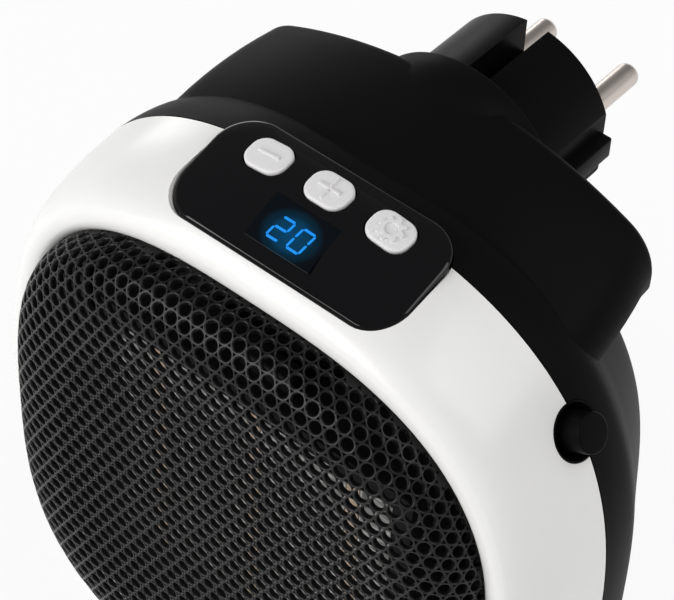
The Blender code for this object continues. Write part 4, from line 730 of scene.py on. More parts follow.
# %% Boss, pocket and seats
housing_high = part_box("housing")[1]
plug_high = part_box("plug_body")[1]
PLUG_RADIUS = plug_high.z
BOSS = housing_high.z
BOSS_RIM = housing_high.y - case_middle.y
BOSS_RUN = 16.8 * MM
BOSS_NOSE = 17.4 * MM
BOSS_ROUND = 0.35 * MM
BOSS_STATIONS = 24
BOSS_STEPS = 128
POCKET_DEPTH = 3.2 * MM
POCKET_FLOOR = BOSS_RIM - POCKET_DEPTH
POCKET_END = BACK - 2 * WALL - GAP
JOURNAL_RADIUS = 11.7 * MM
BORE_RADIUS = JOURNAL_RADIUS + GAP
BEHIND = 4 * MM
RIM_POINTS = 5
# Share of the boss's run from its rim, and share of the way from its full radius to its nose's
BOSS_SHARES = ((0, 0), (0.18, 0.02), (0.36, 0.20), (0.54, 0.52), (0.75, 0.82), (1, 1))
to_back = Matrix.Rotation(-math.pi / 2, 4, "X")
boss_line = smooth_line(BOSS_SHARES, BOSS_STATIONS)
boss_side = [(BOSS - fade * (BOSS - BOSS_NOSE), BOSS_RIM - BOSS_ROUND - part * (BOSS_RUN - BOSS_ROUND))
             for part, fade in boss_line]
boss_rim = quarter_round(BOSS, BOSS_RIM, BOSS_ROUND, RIM_POINTS)
plug_axis = Matrix.Translation(on_case(0, 0, PLUG_RISE)) @ to_back
boss_profile = [(0, BOSS_RIM), *boss_rim, *boss_side[1:], (0, BOSS_RIM - BOSS_RUN)]
boss = solid(spun(boss_profile, BOSS_STEPS, plug_axis), "boss")
pocket_profile = [(0, BOSS_RIM + BEHIND), (PLUG_RADIUS + GAP, BOSS_RIM + BEHIND),
                  (PLUG_RADIUS + GAP, POCKET_FLOOR), (BORE_RADIUS, POCKET_FLOOR), (BORE_RADIUS, POCKET_END),
                  (0, POCKET_END)]
pocket = solid(spun(pocket_profile, BOSS_STEPS, plug_axis), "pocket")
INTAKE = (intake_high.x - intake_low.x) / 2
INTAKE_PLATE = intake_high.y - intake_low.y
INTAKE_LEDGE = 1.6 * MM
INTAKE_STEPS = 128
intake_height = (intake_low.z + intake_high.z) / 2 - case_middle.z
seat_floor = BACK - INTAKE_PLATE / 2 - GAP
intake_axis = Matrix.Translation(on_case(0, 0, intake_height)) @ to_back
seat_radius = INTAKE + GAP
ledge_radius = INTAKE + GAP - INTAKE_LEDGE
seat_profile = [(0, BACK + BEHIND), (seat_radius, BACK + BEHIND), (seat_radius, seat_floor),
                (ledge_radius, seat_floor), (ledge_radius, BACK - 2 * WALL), (0, BACK - 2 * WALL)]
intake_seat = solid(spun(seat_profile, INTAKE_STEPS, intake_axis), "intake_seat")
print("intake radius in mm:", round(1000 * INTAKE, 2))

# %% [markdown]
# Each screw has a seat with a floor for its head and a hole for its shank. Then the forms are joined, and
# the hollow, the seats and the openings are cut away in one chain of Booleans.

# %% Screw seats and the finished housing
SCREW_HEAD = 2.9 * MM
SCREW_SHANK = 1.4 * MM
SCREW_SUNK = 0.6 * MM
SCREW_HEIGHT = 1.7 * MM
SCREW_STEPS = 48
screw_axes = {}
for number in range(1, 5):
    screw_low, screw_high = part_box(f"case_screw_{number}")
    middle = (screw_low + screw_high) / 2
    screw_axes[number] = Matrix.Translation((middle.x, case_middle.y, middle.z)) @ to_back
screw_floor = BACK - SCREW_SUNK - SCREW_HEIGHT - GAP
screw_seats = []
for number, axis in screw_axes.items():
    profile = [(0, BACK + BEHIND), (SCREW_HEAD + GAP, BACK + BEHIND), (SCREW_HEAD + GAP, screw_floor),
               (SCREW_SHANK + GAP, screw_floor), (SCREW_SHANK + GAP, BACK - 2 * BEHIND),
               (0, BACK - 2 * BEHIND)]
    seat = solid(spun(profile, SCREW_STEPS, axis), f"screw_seat_{number}")
    screw_seats.append((seat, "DIFFERENCE"))
hollow = carved(solid(loft(cavity), "hollow"), (hood_hollow, "UNION"))
carved(housing, (hood, "UNION"), (boss, "UNION"), (hollow, "DIFFERENCE"), (intake_seat, "DIFFERENCE"),
       *screw_seats, *openings(), (pocket, "DIFFERENCE"))
dressed(housing, matt_black, "case", ["housing"], crease=30)

# %% [markdown]
# ## Air intake and screws
# The intake is a round plate with upright slots, clipped into its seat. The screws are turned, and a
# cross is cut into each head. Both sit at the back, where only a view from behind shows them.

# %% Intake plate
SLOT_HALF = 1.4 * MM
SLOT_PITCH = 5.6 * MM
SLOT_RIM = 3.0 * MM
SLOT_CORNER_STEPS = 6
PLATE_ROUND = 0.4 * MM
PLATE_BREAK = 0.12 * MM
plate_back, plate_front = BACK + INTAKE_PLATE / 2, BACK - INTAKE_PLATE / 2
plate_profile = [(0, plate_back), (INTAKE - PLATE_ROUND, plate_back),
                 (INTAKE - PLATE_BREAK, plate_back - PLATE_BREAK), (INTAKE, plate_back - PLATE_ROUND),
                 (INTAKE, plate_front), (0, plate_front)]
plate = solid(spun(plate_profile, INTAKE_STEPS, intake_axis), "intake_plate")
slots = []
field = INTAKE - SLOT_RIM
count = int((field - 2 * SLOT_HALF) / SLOT_PITCH)
for number in range(-count, count + 1):
    x = number * SLOT_PITCH
    reach = math.sqrt(field ** 2 - (abs(x) + SLOT_HALF) ** 2)
    slot = round_corners(SLOT_HALF, reach, SLOT_HALF - WELD, SLOT_CORNER_STEPS)
    outline = [(x + a, intake_height + b) for a, b in slot]
    through = loft([standing(outline, plate_front - GAP), standing(outline, plate_back + GAP)])
    slots.append((solid(through, "slot"), "DIFFERENCE"))
dressed(carved(plate, *slots), matt_black, "case", ["intake_grille"])

# %% [markdown]
# A screw is a turned head and shank. Two crossed blocks are cut from the head for the driver.


# %% Screws
def add_block(bm, low, high):
    middle, size = (Vector(high) + Vector(low)) / 2, Vector(high) - Vector(low)
    bmesh.ops.create_cube(bm, size=1, matrix=Matrix.Translation(middle) @ Matrix.Diagonal((*size, 1)))


def block(name, low, high, matrix=None):
    bm = bmesh.new()
    add_block(bm, low, high)
    if matrix is not None:
        bmesh.ops.transform(bm, matrix=matrix, verts=bm.verts)
    return solid(bm, name)


CROSS_ARM = 1.7 * MM
CROSS_HALF = 0.33 * MM
CROSS_DEPTH = 1.0 * MM
CROWN_POINTS = 9
head_top = BACK - SCREW_SUNK
head_floor = head_top - SCREW_HEIGHT
head_round = SCREW_HEIGHT / 2
for number, axis in screw_axes.items():
    crown = [(SCREW_HEAD * math.sin(a), head_top - head_round * (1 - math.cos(a)))
             for a in np.linspace(0, math.pi / 2, CROWN_POINTS)]
    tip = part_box(f"case_screw_{number}")[0].y - case_middle.y
    profile = [*crown, (SCREW_HEAD, head_floor), (SCREW_SHANK, head_floor), (SCREW_SHANK, tip), (0, tip)]
    screw = solid(spun(profile, SCREW_STEPS, axis), f"screw_{number}")
    low, high = head_top - CROSS_DEPTH, head_top + CROSS_DEPTH
    arms = [(block("arm", (-a, -b, low), (a, b, high), axis), "DIFFERENCE")
            for a, b in ((CROSS_ARM, CROSS_HALF), (CROSS_HALF, CROSS_ARM))]
    dressed(carved(screw, *arms), zinc, "case", [f"case_screw_{number}"])

# %% [markdown]
# ## Control panel
# A gloss black plate with a rounded rim. Its first ring is a small patch in the middle of the top, and
# each next ring is larger, then the rim is turned over and the rings shrink again underneath. The
# buttons and the window are cut out last.

# %% Panel plate
PANEL_THICK = 1.6 * MM
# Inset from the plate's outline and drop below its surface, from the flat to the side
RIM_STEPS = ((0.80 * MM, 0.0), (0.50 * MM, 0.03 * MM), (0.28 * MM, 0.10 * MM), (0.12 * MM, 0.22 * MM),
             (0.03 * MM, 0.38 * MM), (0.0, 0.60 * MM))
RINGS = 14


def panel_ring(inset, below, shrink=1.0):
    half_width, half_length = PANEL_HALF[0] - inset, PANEL_HALF[1] - inset
    outline = round_corners(half_width, half_length, PANEL_CORNER - inset, PANEL_CORNER_STEPS)
    return [on_panel(x * shrink, PANEL_MIDDLE + y * shrink, -below) for x, y in outline]


top_inset = RIM_STEPS[0][0]
stations = [panel_ring(top_inset, 0.0, (i + 1) / RINGS) for i in range(RINGS - 1)]
stations += [panel_ring(inset, below) for inset, below in RIM_STEPS]
stations += [panel_ring(0.0, PANEL_THICK, 1 - i / RINGS) for i in range(RINGS)]
panel = solid(loft(stations), "panel_plate")
print("panel rings:", len(stations))

# %% [markdown]
# The three buttons share one size. Each has its own hole in the plate, and so has the window, whose
# edges are straight.

# %% Holes in the panel
contact_low, contact_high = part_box("tact_switch_settings")
BUTTON_PITCH = (contact_low.x + contact_high.x) / 2
BUTTONS = (("minus", -BUTTON_PITCH), ("plus", 0.0), ("settings", BUTTON_PITCH))
BUTTON_DEPTH = 30.4 * MM
BUTTON_HALF = (4.3 * MM, 3.4 * MM)
BUTTON_CORNER = 2.8 * MM
CUT_BELOW = 4 * MM
CUT_ABOVE = 3 * MM
window_low, window_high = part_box("display_window")
WINDOW_HALF = (window_high.x, (window_high.y - window_low.y) / 2)
WINDOW_MIDDLE = (window_low.y + window_high.y) / 2 - case_middle.y
WINDOW_GAP = 0.03 * MM
PANE_STEPS = 8


def button_prism(name, x):
    outline = round_corners(BUTTON_HALF[0] + GAP, BUTTON_HALF[1] + GAP, BUTTON_CORNER + GAP)
    made = loft([[Vector((a, b, level)) for a, b in outline] for level in (-CUT_BELOW, CUT_ABOVE)])
    bmesh.ops.transform(made, matrix=panel_place(x, BUTTON_DEPTH), verts=made.verts)
    return solid(made, name)


def window_loop(grow, level, steps=1):
    half_width, half_length = WINDOW_HALF[0] + grow, WINDOW_HALF[1] + grow
    across = np.linspace(-half_length, half_length, steps + 1)
    loop = [(half_width, y) for y in across] + [(-half_width, y) for y in across[::-1]]
    return [on_panel(x, WINDOW_MIDDLE + y, level) for x, y in loop]


cuts = [(button_prism("hole_" + name, x), "DIFFERENCE") for name, x in BUTTONS]
window_ends = [window_loop(WINDOW_GAP, level) for level in (-CUT_BELOW, CUT_ABOVE)]
window_hole = solid(loft(window_ends), "window_hole")
carved(panel, *cuts, (window_hole, "DIFFERENCE"))
dressed(panel, panel_black, "case", ["control_panel"], crease=35)

# %% [markdown]
# ## Display
# Two seven-segment digits glow on a smoked window. The window is a thin pane that gives off a deep
# blue light round the digits and fades to black at its edges. The glow is a function of the distance
# from the middle of the digits, so it moves with the window and not with the viewer.

# %% Window pane
FIGURE_MIDDLE = (0.25 * MM, 20.27 * MM)
GLOW_REACH = (6.4 * MM, 5.2 * MM)
SMOKE = (0.0010, 0.0013, 0.0020)
# Share of the glow's reach, and colour there
GLOW_SHARES = ((0.0, (0.0, 0.054, 0.135)), (0.46, (0.0, 0.040, 0.095)), (0.74, (0.0, 0.014, 0.029)),
               (1.0, (0.0006, 0.0018, 0.0032)))
smoked, tree, shader = new_material("smoked_window", {"Base Color": (*SMOKE, 1), "Roughness": 0.08,
                                                      "Specular IOR Level": 0.18, "Emission Strength": 1.0})
where = node(tree, "ShaderNodeTexCoord", (-1100, 0))
middle = node(tree, "ShaderNodeVectorMath", (-900, 0), operation="SUBTRACT")
middle.inputs[1].default_value = on_panel(*FIGURE_MIDDLE)
squeeze = node(tree, "ShaderNodeVectorMath", (-700, 0), operation="MULTIPLY")
squeeze.inputs[1].default_value = (1 / GLOW_REACH[0], 1 / GLOW_REACH[1], 1 / GLOW_REACH[1])
far = node(tree, "ShaderNodeVectorMath", (-500, 0), operation="LENGTH")
halo = colour_ramp(tree, (-300, 0), GLOW_SHARES)
halo.color_ramp.interpolation = "EASE"
wire(tree, (where, "Object", middle, 0), (middle, "Vector", squeeze, 0), (squeeze, "Vector", far, 0),
     (far, "Value", halo, "Fac"), (halo, "Color", shader, "Emission Color"))
pane_ends = [window_loop(0.0, level, PANE_STEPS) for level in (-PANEL_THICK, 0.0)]
pane = solid(loft(pane_ends), "window_pane")
dressed(pane, smoked, "case", ["display_window"])

# %% [markdown]
# A seven-segment digit is three flat bars and four upright ones with mitred ends. One table says where
# the bars are and another which of them each figure lights. The figures lean a little to the right.
# They lie on the pane, where the real ones shine through it.

# %% Digits
DEEP_BLUE = (0.0, 0.02, 0.05)
SEGMENT_BLUES = ((0.0, (0.0, 0.23, 0.80)), (1.0, (0.0, 0.30, 0.98)))
lit, tree, shader = new_material("lit_segments", {"Base Color": (*DEEP_BLUE, 1), "Emission Strength": 1.0})
where = node(tree, "ShaderNodeTexCoord", (-900, 0))
speckle = node(tree, "ShaderNodeTexNoise", (-700, 0))
speckle.inputs["Scale"].default_value = 2 / MM
tint = colour_ramp(tree, (-450, 0), SEGMENT_BLUES)
wire(tree, (where, "Object", speckle, "Vector"), (speckle, "Fac", tint, "Fac"),
     (tint, "Color", shader, "Emission Color"))
DIGIT = (3.1 * MM, 4.35 * MM)
BAR = 0.44 * MM
MITRE_GAP = 0.07 * MM
LEAN = 0.155
FIGURES = (("2", -1.94 * MM), ("0", 2.48 * MM))
DIGIT_LEVELS = (0.01 * MM, 0.04 * MM)
# Side, level, and whether the bar lies flat
SEGMENTS = {"top": (0, 1, True), "middle": (0, 0, True), "bottom": (0, -1, True),
            "upper_left": (-1, 0.5, False), "upper_right": (1, 0.5, False),
            "lower_left": (-1, -0.5, False), "lower_right": (1, -0.5, False)}
SHOWN = {"2": ("top", "upper_right", "middle", "lower_left", "bottom"),
         "0": ("top", "upper_left", "upper_right", "lower_left", "lower_right", "bottom")}


def segment(centre_x, side, level, flat):
    """One bar of a digit, as a thin solid on the window."""
    half = ((DIGIT[0] - BAR) / 2 if flat else (DIGIT[1] - BAR) / 4) - MITRE_GAP
    point = BAR / 2
    ends = [(half, 0), (half - point, point), (point - half, point),
            (-half, 0), (point - half, -point), (half - point, -point)]
    x0, y0 = side * (DIGIT[0] - BAR) / 2, level * (DIGIT[1] - BAR) / 2
    places = [(x0 + a, y0 + b) if flat else (x0 - b, y0 + a) for a, b in ends]
    return loft([[on_panel(centre_x + x + LEAN * y, FIGURE_MIDDLE[1] + y, above) for x, y in places]
                 for above in DIGIT_LEVELS])


digits = bmesh.new()
for figure, centre_x in FIGURES:
    for name in SHOWN[figure]:
        bar = segment(centre_x, *SEGMENTS[name])
        mesh = bpy.data.meshes.new("bar")
        bar.to_mesh(mesh)
        digits.from_mesh(mesh)
dressed(solid(digits, "display_digits"), lit, "case")

# %% [markdown]
# ## Buttons
# Three soft white caps stand a little proud of the panel. Each cap is a loft whose rings round over
# the rim and close on a slightly crowned top. The symbols are raised, with sloping flanks that catch
# the light: a bar, a cross and a gear wheel whose teeth are a smooth wave.

# %% Button caps
CAP_FOOT = -2.2 * MM
CAP_TOP = 0.42 * MM
CAP_CROWN = 0.06 * MM
# Inset and drop below the top, from the cap's side to its flat
CAP_RIM = ((0.0, 0.42 * MM), (0.04 * MM, 0.27 * MM), (0.13 * MM, 0.15 * MM), (0.27 * MM, 0.06 * MM),
           (0.48 * MM, 0.012 * MM), (0.75 * MM, 0.0))
CROWN_RINGS = 6
CORNER_SHARE = 0.8
MARK_SINK = 0.10 * MM
MARK_TOP = 0.34 * MM
MARK_FLANK = 0.13 * MM
BAR_HALF = (2.45 * MM, 0.34 * MM)
BAR_CORNER = 0.12 * MM
BAR_CORNER_STEPS = 4
GEAR_RADIUS = 2.34 * MM
GEAR_TOOTH = 0.36 * MM
GEAR_HOLE = 1.12 * MM
GEAR_TEETH = 8
TOOTH_FLATNESS = 2.2
GEAR_STEPS = 128


def cap_ring(inset, height, shrink=1.0):
    corner = BUTTON_CORNER - CORNER_SHARE * inset
    outline = round_corners(BUTTON_HALF[0] - inset, BUTTON_HALF[1] - inset, corner)
    return [Vector((a * shrink, b * shrink, height + CAP_CROWN * (1 - shrink ** 2))) for a, b in outline]


def button_cap():
    stations = [cap_ring(0.0, CAP_FOOT)] + [cap_ring(inset, CAP_TOP - drop) for inset, drop in CAP_RIM]
    flat_inset = CAP_RIM[-1][0]
    stations += [cap_ring(flat_inset, CAP_TOP, 1 - i / CROWN_RINGS) for i in range(1, CROWN_RINGS)]
    return loft(stations)


def cross_outline(length, width):
    arm = [(width, length), (-width, length), (-width, width)]
    points = []
    for turn in range(4):
        quarter = Matrix.Rotation(turn * math.pi / 2, 2)
        points += [tuple(quarter @ Vector(point)) for point in arm]
    return points


def wheel_outline(radius, tooth=0.0):
    """A circle, or a gear wheel whose teeth are a flattened wave."""
    points = []
    for step in range(GEAR_STEPS):
        turn = math.tau * step / GEAR_STEPS
        wave = math.tanh(TOOTH_FLATNESS * math.cos(GEAR_TEETH * turn)) / math.tanh(TOOTH_FLATNESS)
        reach = radius + tooth * wave
        points.append((reach * math.cos(turn), reach * math.sin(turn)))
    return points


def at_level(outline, height):
    return [Vector((a, b, height)) for a, b in outline]


FOOT = CAP_TOP - MARK_SINK
TOP = CAP_TOP + CAP_CROWN + MARK_TOP


def symbol(name):
    if name == "minus":
        flat = [round_corners(BAR_HALF[0] - a, BAR_HALF[1] - a, BAR_CORNER, BAR_CORNER_STEPS)
                for a in (0.0, MARK_FLANK)]
    elif name == "plus":
        flat = [cross_outline(BAR_HALF[0] - a, BAR_HALF[1] - a) for a in (0.0, MARK_FLANK)]
    else:
        return loft([at_level(wheel_outline(GEAR_RADIUS, GEAR_TOOTH), FOOT),
                     at_level(wheel_outline(GEAR_RADIUS - MARK_FLANK, GEAR_TOOTH), TOP),
                     at_level(wheel_outline(GEAR_HOLE + MARK_FLANK), TOP),
                     at_level(wheel_outline(GEAR_HOLE), FOOT)], closed=True)
    return loft([at_level(flat[0], FOOT), at_level(flat[1], TOP)])


for name, x in BUTTONS:
    for bm, label in ((button_cap(), "cap_"), (symbol(name), "symbol_")):
        bmesh.ops.transform(bm, matrix=panel_place(x, BUTTON_DEPTH), verts=bm.verts)
        stands_for = ["button_" + name] if label == "cap_" else ()
        dressed(solid(bm, label + name), button_white, name + "_button", stands_for)

# %% [markdown]
# ## Power switch
# A tall round push button stands in a dished bezel on the right shoulder, half in the white ring and
# half in the black housing. Both are turned shapes, so a profile is spun about the switch's axis.

# %% Switch
BORE = 4.0 * MM
BEZEL_CLEAR = 0.06 * MM
BEZEL = WELL_RADIUS - BEZEL_CLEAR
BEZEL_FOOT = -5.2 * MM
BEZEL_RIM = -0.30 * MM
DISH = -2.1 * MM
DISH_SIDE = (0.45 * MM, 0.95 * MM)
LIP_START = (0.35 * MM, 0.08 * MM)
LIP_CREST = 0.12 * MM
LIP_EDGE = 0.14 * MM
DISH_STATIONS = 14
CAP = 3.6 * MM
CAP_PROUD = 3.6 * MM
CAP_ROUND = 0.32 * MM
CAP_FLANGE = 4.5 * MM
FLANGE_THICK = 1.0 * MM
CAP_RIM_POINTS = 6
dish_line = smooth_line(((BORE, DISH), (BORE + DISH_SIDE[0], DISH + DISH_SIDE[1]),
                         (BEZEL - LIP_START[0], BEZEL_RIM - LIP_START[1]), (BEZEL - LIP_CREST, BEZEL_RIM),
                         (BEZEL, BEZEL_RIM - LIP_EDGE)), DISH_STATIONS)
bezel = spun([*map(tuple, dish_line), (BEZEL, BEZEL_FOOT), (BORE, BEZEL_FOOT)], SWITCH_STEPS, switch_place)
dressed(solid(bezel, "bezel"), switch_black, "case", ["switch_bezel"])
cap_rim = quarter_round(CAP, CAP_PROUD, CAP_ROUND, CAP_RIM_POINTS)
flange_top = BEZEL_FOOT - GAP
flange_foot = flange_top - FLANGE_THICK
cap_profile = [(0, CAP_PROUD), *cap_rim, (CAP, flange_top), (CAP_FLANGE, flange_top),
               (CAP_FLANGE, flange_foot), (0, flange_foot)]
cap = spun(cap_profile, SWITCH_STEPS, switch_place)
dressed(solid(cap, "power_cap"), switch_black, "power_button", ["switch_button"])

# %% [markdown]
# ## Plug
# The plug is a round body with two flats, two side ribs and two grooves for the earth contacts of a
# socket. The body is turned, the flats and grooves are cut from it, and the ribs, whose edges a bevel
# modifier has rounded, are joined on.

# %% Plug body
PLUG_ROUND = 0.3 * MM
PLUG_FLOOR = POCKET_FLOOR - PLUG_DEPTH + GAP
PLUG_STEPS = 144
JOURNAL_END = -26.2 * MM
FLAT_REACH = 16.8 * MM
FLAT_RUN = -20.1 * MM
RIB_ROOT = 12.6 * MM
RIB_REACH = plug_high.x
RIB_RUN = -19.3 * MM
RIB_FRONT = -0.6 * MM
RIB_LOW = -1.8 * MM
RIB_HIGH = 2.8 * MM
RIB_ROUND = 0.45 * MM
RIB_ROUND_STEPS = 3
GROOVE_HALF = 2.4 * MM
GROOVE_DEPTH = 7.7 * MM
GROOVE_FLOOR = PLUG_RADIUS - GROOVE_DEPTH
CLEAR = 3 * MM
BODY_REACH = PLUG_RADIUS + CLEAR
plug_rim = quarter_round(PLUG_RADIUS, 0, PLUG_ROUND, RIM_POINTS)
plug_profile = [(0, 0), *plug_rim, (PLUG_RADIUS, PLUG_FLOOR), (JOURNAL_RADIUS, PLUG_FLOOR),
                (JOURNAL_RADIUS, JOURNAL_END), (0, JOURNAL_END)]
plug = solid(spun(plug_profile, PLUG_STEPS, to_back), "plug_moulding")


def both_sides(near, far):
    """The spans between two distances on either side of the plug's middle."""
    return (-far, -near), (near, far)


cuts = [(block("flat", (low, FLAT_RUN, -BODY_REACH), (high, CLEAR, BODY_REACH)), "DIFFERENCE")
        for low, high in both_sides(FLAT_REACH, BODY_REACH)]
for low, high in both_sides(RIB_ROOT, RIB_REACH):
    rib = block("rib", (low, RIB_RUN, RIB_LOW), (high, RIB_FRONT, RIB_HIGH))
    rounded = rib.modifiers.new("rounded", "BEVEL")
    rounded.width, rounded.segments = RIB_ROUND, RIB_ROUND_STEPS
    cuts.append((carved(rib), "UNION"))
cuts += [(block("groove", (-GROOVE_HALF, FLAT_RUN, low), (GROOVE_HALF, CLEAR, high)), "DIFFERENCE")
         for low, high in both_sides(GROOVE_FLOOR, BODY_REACH)]
dressed(carved(plug, *cuts), plug_black, "plug", ["plug_body"], crease=35)

# %% [markdown]
# The pins are turned from brass and nickel plated. Their ends are rounded, so that they find the
# holes of a socket.

# %% Pins
pin_low, pin_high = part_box("plug_pin_right")
PIN = pin_high.z
PIN_LENGTH = pin_high.y
PIN_SPREAD = (pin_low.x + pin_high.x) / 2
PIN_ROUND = 1.2 * MM
PIN_ROOT = -8.9 * MM
PIN_STEPS = 64
PIN_TIP_POINTS = 7
for name, side in (("left", -1), ("right", 1)):
    tip = quarter_round(PIN, PIN_LENGTH, PIN_ROUND, PIN_TIP_POINTS)
    profile = [(0, PIN_LENGTH), *tip, (PIN, PIN_ROOT), (0, PIN_ROOT)]
    pin = spun(profile, PIN_STEPS, Matrix.Translation((side * PIN_SPREAD, 0, 0)) @ to_back)
    dressed(solid(pin, "pin_" + name), nickel, "plug", ["plug_pin_" + name])

# %% [markdown]
# ## Heating element
# Behind the grille three ceramic strips stand upright between banks of thin folded fins. Flat plates
# line each bank, and one more runs down the middle of the two wide ones. One zigzag line is drawn
# sideways into a sheet and then back into its depth. The CAD has coarse folds, so finer ones stand for
# them here.

# %% Folded fins
strip_low, strip_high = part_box("ptc_strip_centre")
HEATER_FRONT = strip_low.y - case_middle.y
HEATER_THICK = strip_high.y - strip_low.y
HEATER_HALF = (strip_high.z - strip_low.z) / 2
FOLDS = 22
FIN_SHEET = 0.20 * MM
SIDE_PLATE = 0.30 * MM
WIDE_BANKS = (2, 3)
FOLD_CREASE = 10
banks = [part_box(f"heat_fins_{number}") for number in range(1, 5)]


def moved_up(bm, geometry, vector):
    made = [item for item in geometry if isinstance(item, bmesh.types.BMVert)]
    bmesh.ops.translate(bm, verts=made, vec=vector)


def folded(bm, left, right):
    """A zigzag sheet between two walls."""
    slope = HEATER_HALF / FOLDS
    spread = FIN_SHEET * math.hypot(right - left, slope) / slope
    line = [bm.verts.new(on_case(left if i % 2 else right - spread, HEATER_FRONT, slope * i - HEATER_HALF))
            for i in range(2 * FOLDS + 1)]
    edges = [bm.edges.new(pair) for pair in zip(line, line[1:])]
    made = bmesh.ops.extrude_edge_only(bm, edges=edges)["geom"]
    moved_up(bm, made, (spread, 0, 0))
    faces = [item for item in made if isinstance(item, bmesh.types.BMFace)]
    made = bmesh.ops.extrude_face_region(bm, geom=faces, use_keep_orig=True)["geom"]
    moved_up(bm, made, (0, HEATER_THICK, 0))


for number, (low, high) in enumerate(banks, start=1):
    bm = bmesh.new()
    middle = (low.x + high.x) / 2
    walls = (low.x, middle, high.x) if number in WIDE_BANKS else (low.x, high.x)
    for wall in walls:
        left = min(max(wall - SIDE_PLATE / 2, low.x), high.x - SIDE_PLATE)
        add_block(bm, on_case(left, HEATER_FRONT, -HEATER_HALF),
                  on_case(left + SIDE_PLATE, HEATER_FRONT + HEATER_THICK, HEATER_HALF))
    for left, right in zip(walls, walls[1:]):
        folded(bm, left + SIDE_PLATE, right - SIDE_PLATE)
    fins = solid(bm, f"folded_fins_{number}")
    dressed(fins, fin_metal, "case", [f"heat_fins_{number}"], crease=FOLD_CREASE)

# %% [markdown]
# ## Pieces that keep their CAD shape
# The inside pieces already have their real shape, so they only need a finish. Each CAD node gets the
# material that the table below lists for it.

# %% Finishes for the CAD nodes
FINISHES = {
    board_green: ("control_board",),
    ceramic: ("ptc_strip_left", "ptc_strip_centre", "ptc_strip_right"),
    zinc: ("fan_motor",),
    inner_black: ("display_module", "tact_switch_minus", "tact_switch_plus", "tact_switch_settings",
                  "switch_body", "ptc_frame", "thermal_cutout", "fan_shroud", "fan_impeller",
                  "plug_retainer"),
}
for material, names in FINISHES.items():
    for name in names:
        nodes[name].data.materials.clear()
        nodes[name].data.materials.append(material)
print("finished CAD nodes:", sum(len(names) for names in FINISHES.values()))

# %% [markdown]
# ## Floor
# The floor is white paper. To the camera, and in reflections, it also gives its own light, which keeps
# the background clean, and a tenth of its shading stays, which keeps a soft shadow under the heater.

# %% Floor
FLOOR_DROP = 1 * MM
FLOOR_HALF = 4.0
SHADOW_SHARE = 0.10


def seen_ray(tree):
    """A node that gives 1 on rays of the camera, of reflections and through glass, and 0 on others."""
    path = node(tree, "ShaderNodeLightPath", (-900, 500))
    either = node(tree, "ShaderNodeMath", (-700, 500), operation="MAXIMUM")
    any_ray = node(tree, "ShaderNodeMath", (-500, 500), operation="MAXIMUM")
    wire(tree, (path, "Is Camera Ray", either, 0), (path, "Is Glossy Ray", either, 1),
         (either, 0, any_ray, 0), (path, "Is Transmission Ray", any_ray, 1))
    return any_ray


floor_mesh = bmesh.new()
bmesh.ops.create_grid(floor_mesh, x_segments=1, y_segments=1, size=FLOOR_HALF)
bmesh.ops.translate(floor_mesh, verts=floor_mesh.verts, vec=(0, 0, cad_low.z - FLOOR_DROP))
floor = linked(floor_mesh, "floor")
paper, tree, shader = new_material("white_paper", {"Base Color": (0.9, 0.9, 0.9, 1), "Roughness": 0.9})
keep_shadow = node(tree, "ShaderNodeMath", (0, 450), operation="MULTIPLY")
keep_shadow.inputs[1].default_value = 1 - SHADOW_SHARE
own_light = node(tree, "ShaderNodeEmission", (0, 300))
own_light.inputs["Strength"].default_value = 1.0
mix = node(tree, "ShaderNodeMixShader", (300, 100))
wire(tree, (seen_ray(tree), 0, keep_shadow, 0), (keep_shadow, 0, mix, "Fac"), (shader, "BSDF", mix, 1),
     (own_light, "Emission", mix, 2), (mix, "Shader", tree.nodes["Material Output"], "Surface"))
floor.data.materials.append(paper)
floor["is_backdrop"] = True
print("floor below the case in mm:", round(1000 * (cad_low.z - FLOOR_DROP), 1))

# %% [markdown]
# ## Light
# One large lamp in front and to the left lights the ring. A smaller one above and to the right draws
# the bright rims on the grille's shoulder, and a weak one behind on the left draws the left side of the
# housing. The sky is bright at the horizon and dark overhead, so that the black top stays black. Just
# above the horizon it is as white as the floor, to the camera and in reflections.


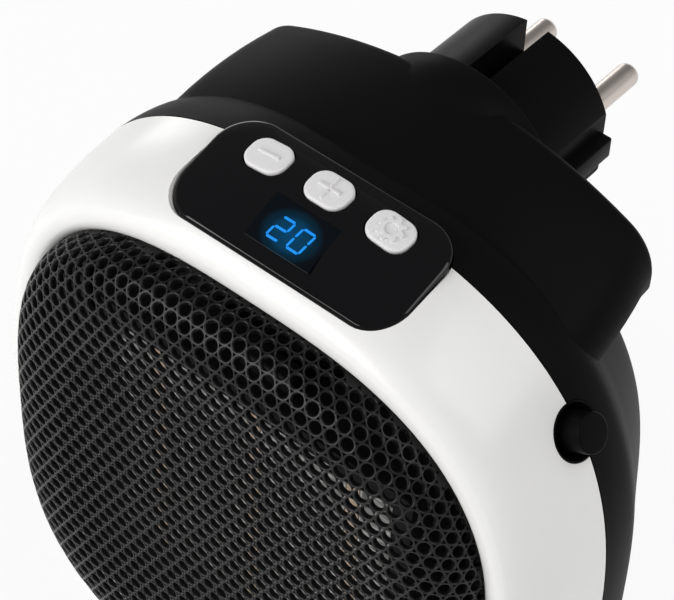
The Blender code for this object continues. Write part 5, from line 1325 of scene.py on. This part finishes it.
# %% Lamps and sky
def softbox(name, direction, distance, size, power):
    lamp = bpy.data.lights.new(name, "AREA")
    lamp.shape = "RECTANGLE"
    lamp.size, lamp.size_y = size
    lamp.energy = power
    holder = bpy.data.objects.new(name, lamp)
    toward = Vector(direction).normalized()
    holder.location = on_case(0, BACK / 2, 0) + toward * distance
    holder.rotation_euler = toward.to_track_quat("Z", "Y").to_euler()
    scene.collection.objects.link(holder)


# Name, direction from the case, distance and size in metres, and power in watts
LAMPS = (("front_left_lamp", (-0.42, -0.85, 0.42), 1.6, (1.1, 1.0), 19),
         ("top_right_lamp", (0.55, 0.22, 0.80), 1.2, (0.9, 0.9), 6.4),
         ("back_left_lamp", (-0.80, 0.56, 0.20), 1.4, (0.6, 0.45), 2.5))
for lamp in LAMPS:
    softbox(*lamp)
# Sine of the height above the horizon, and colour there
SKY_STOPS = ((0.02, (0.70, 0.70, 0.70)), (0.62, (0.20, 0.20, 0.20)))
WHITE_STOPS = ((0.10, (1, 1, 1)), (0.16, (0, 0, 0)))
sky_light = bpy.data.worlds.new("studio_sky")
scene.world = sky_light
sky_light.use_nodes = True
sky = sky_light.node_tree
background = sky.nodes["Background"]
look = node(sky, "ShaderNodeTexCoord", (-900, 0))
split = node(sky, "ShaderNodeSeparateXYZ", (-700, 0))
fade = colour_ramp(sky, (-500, 0), SKY_STOPS)
band = colour_ramp(sky, (-500, 250), WHITE_STOPS)
low_sky = node(sky, "ShaderNodeMath", (-200, 350), operation="MULTIPLY")
white_sky = node(sky, "ShaderNodeBackground", (0, 150))
white_sky.inputs["Color"].default_value = (1, 1, 1, 1)
mix = node(sky, "ShaderNodeMixShader", (300, 200))
wire(sky, (look, "Generated", split, 0), (split, "Z", fade, "Fac"), (fade, "Color", background, "Color"),
     (split, "Z", band, "Fac"), (seen_ray(sky), 0, low_sky, 0), (band, "Color", low_sky, 1),
     (low_sky, 0, mix, "Fac"), (background, "Background", mix, 1), (white_sky, "Background", mix, 2),
     (mix, "Shader", sky.nodes["World Output"], "Surface"))
print("lamps:", len(bpy.data.lights))

# %% [markdown]
# ## Sizes
# The last cell measures the finished heater and prints the size of its box. The last cell measures
# the finished heater, which has to lie inside the box of its CAD model.

# %% Sizes and finish
low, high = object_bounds()
print("visual box in mm:", [round(1000 * v, 1) for v in high - low])
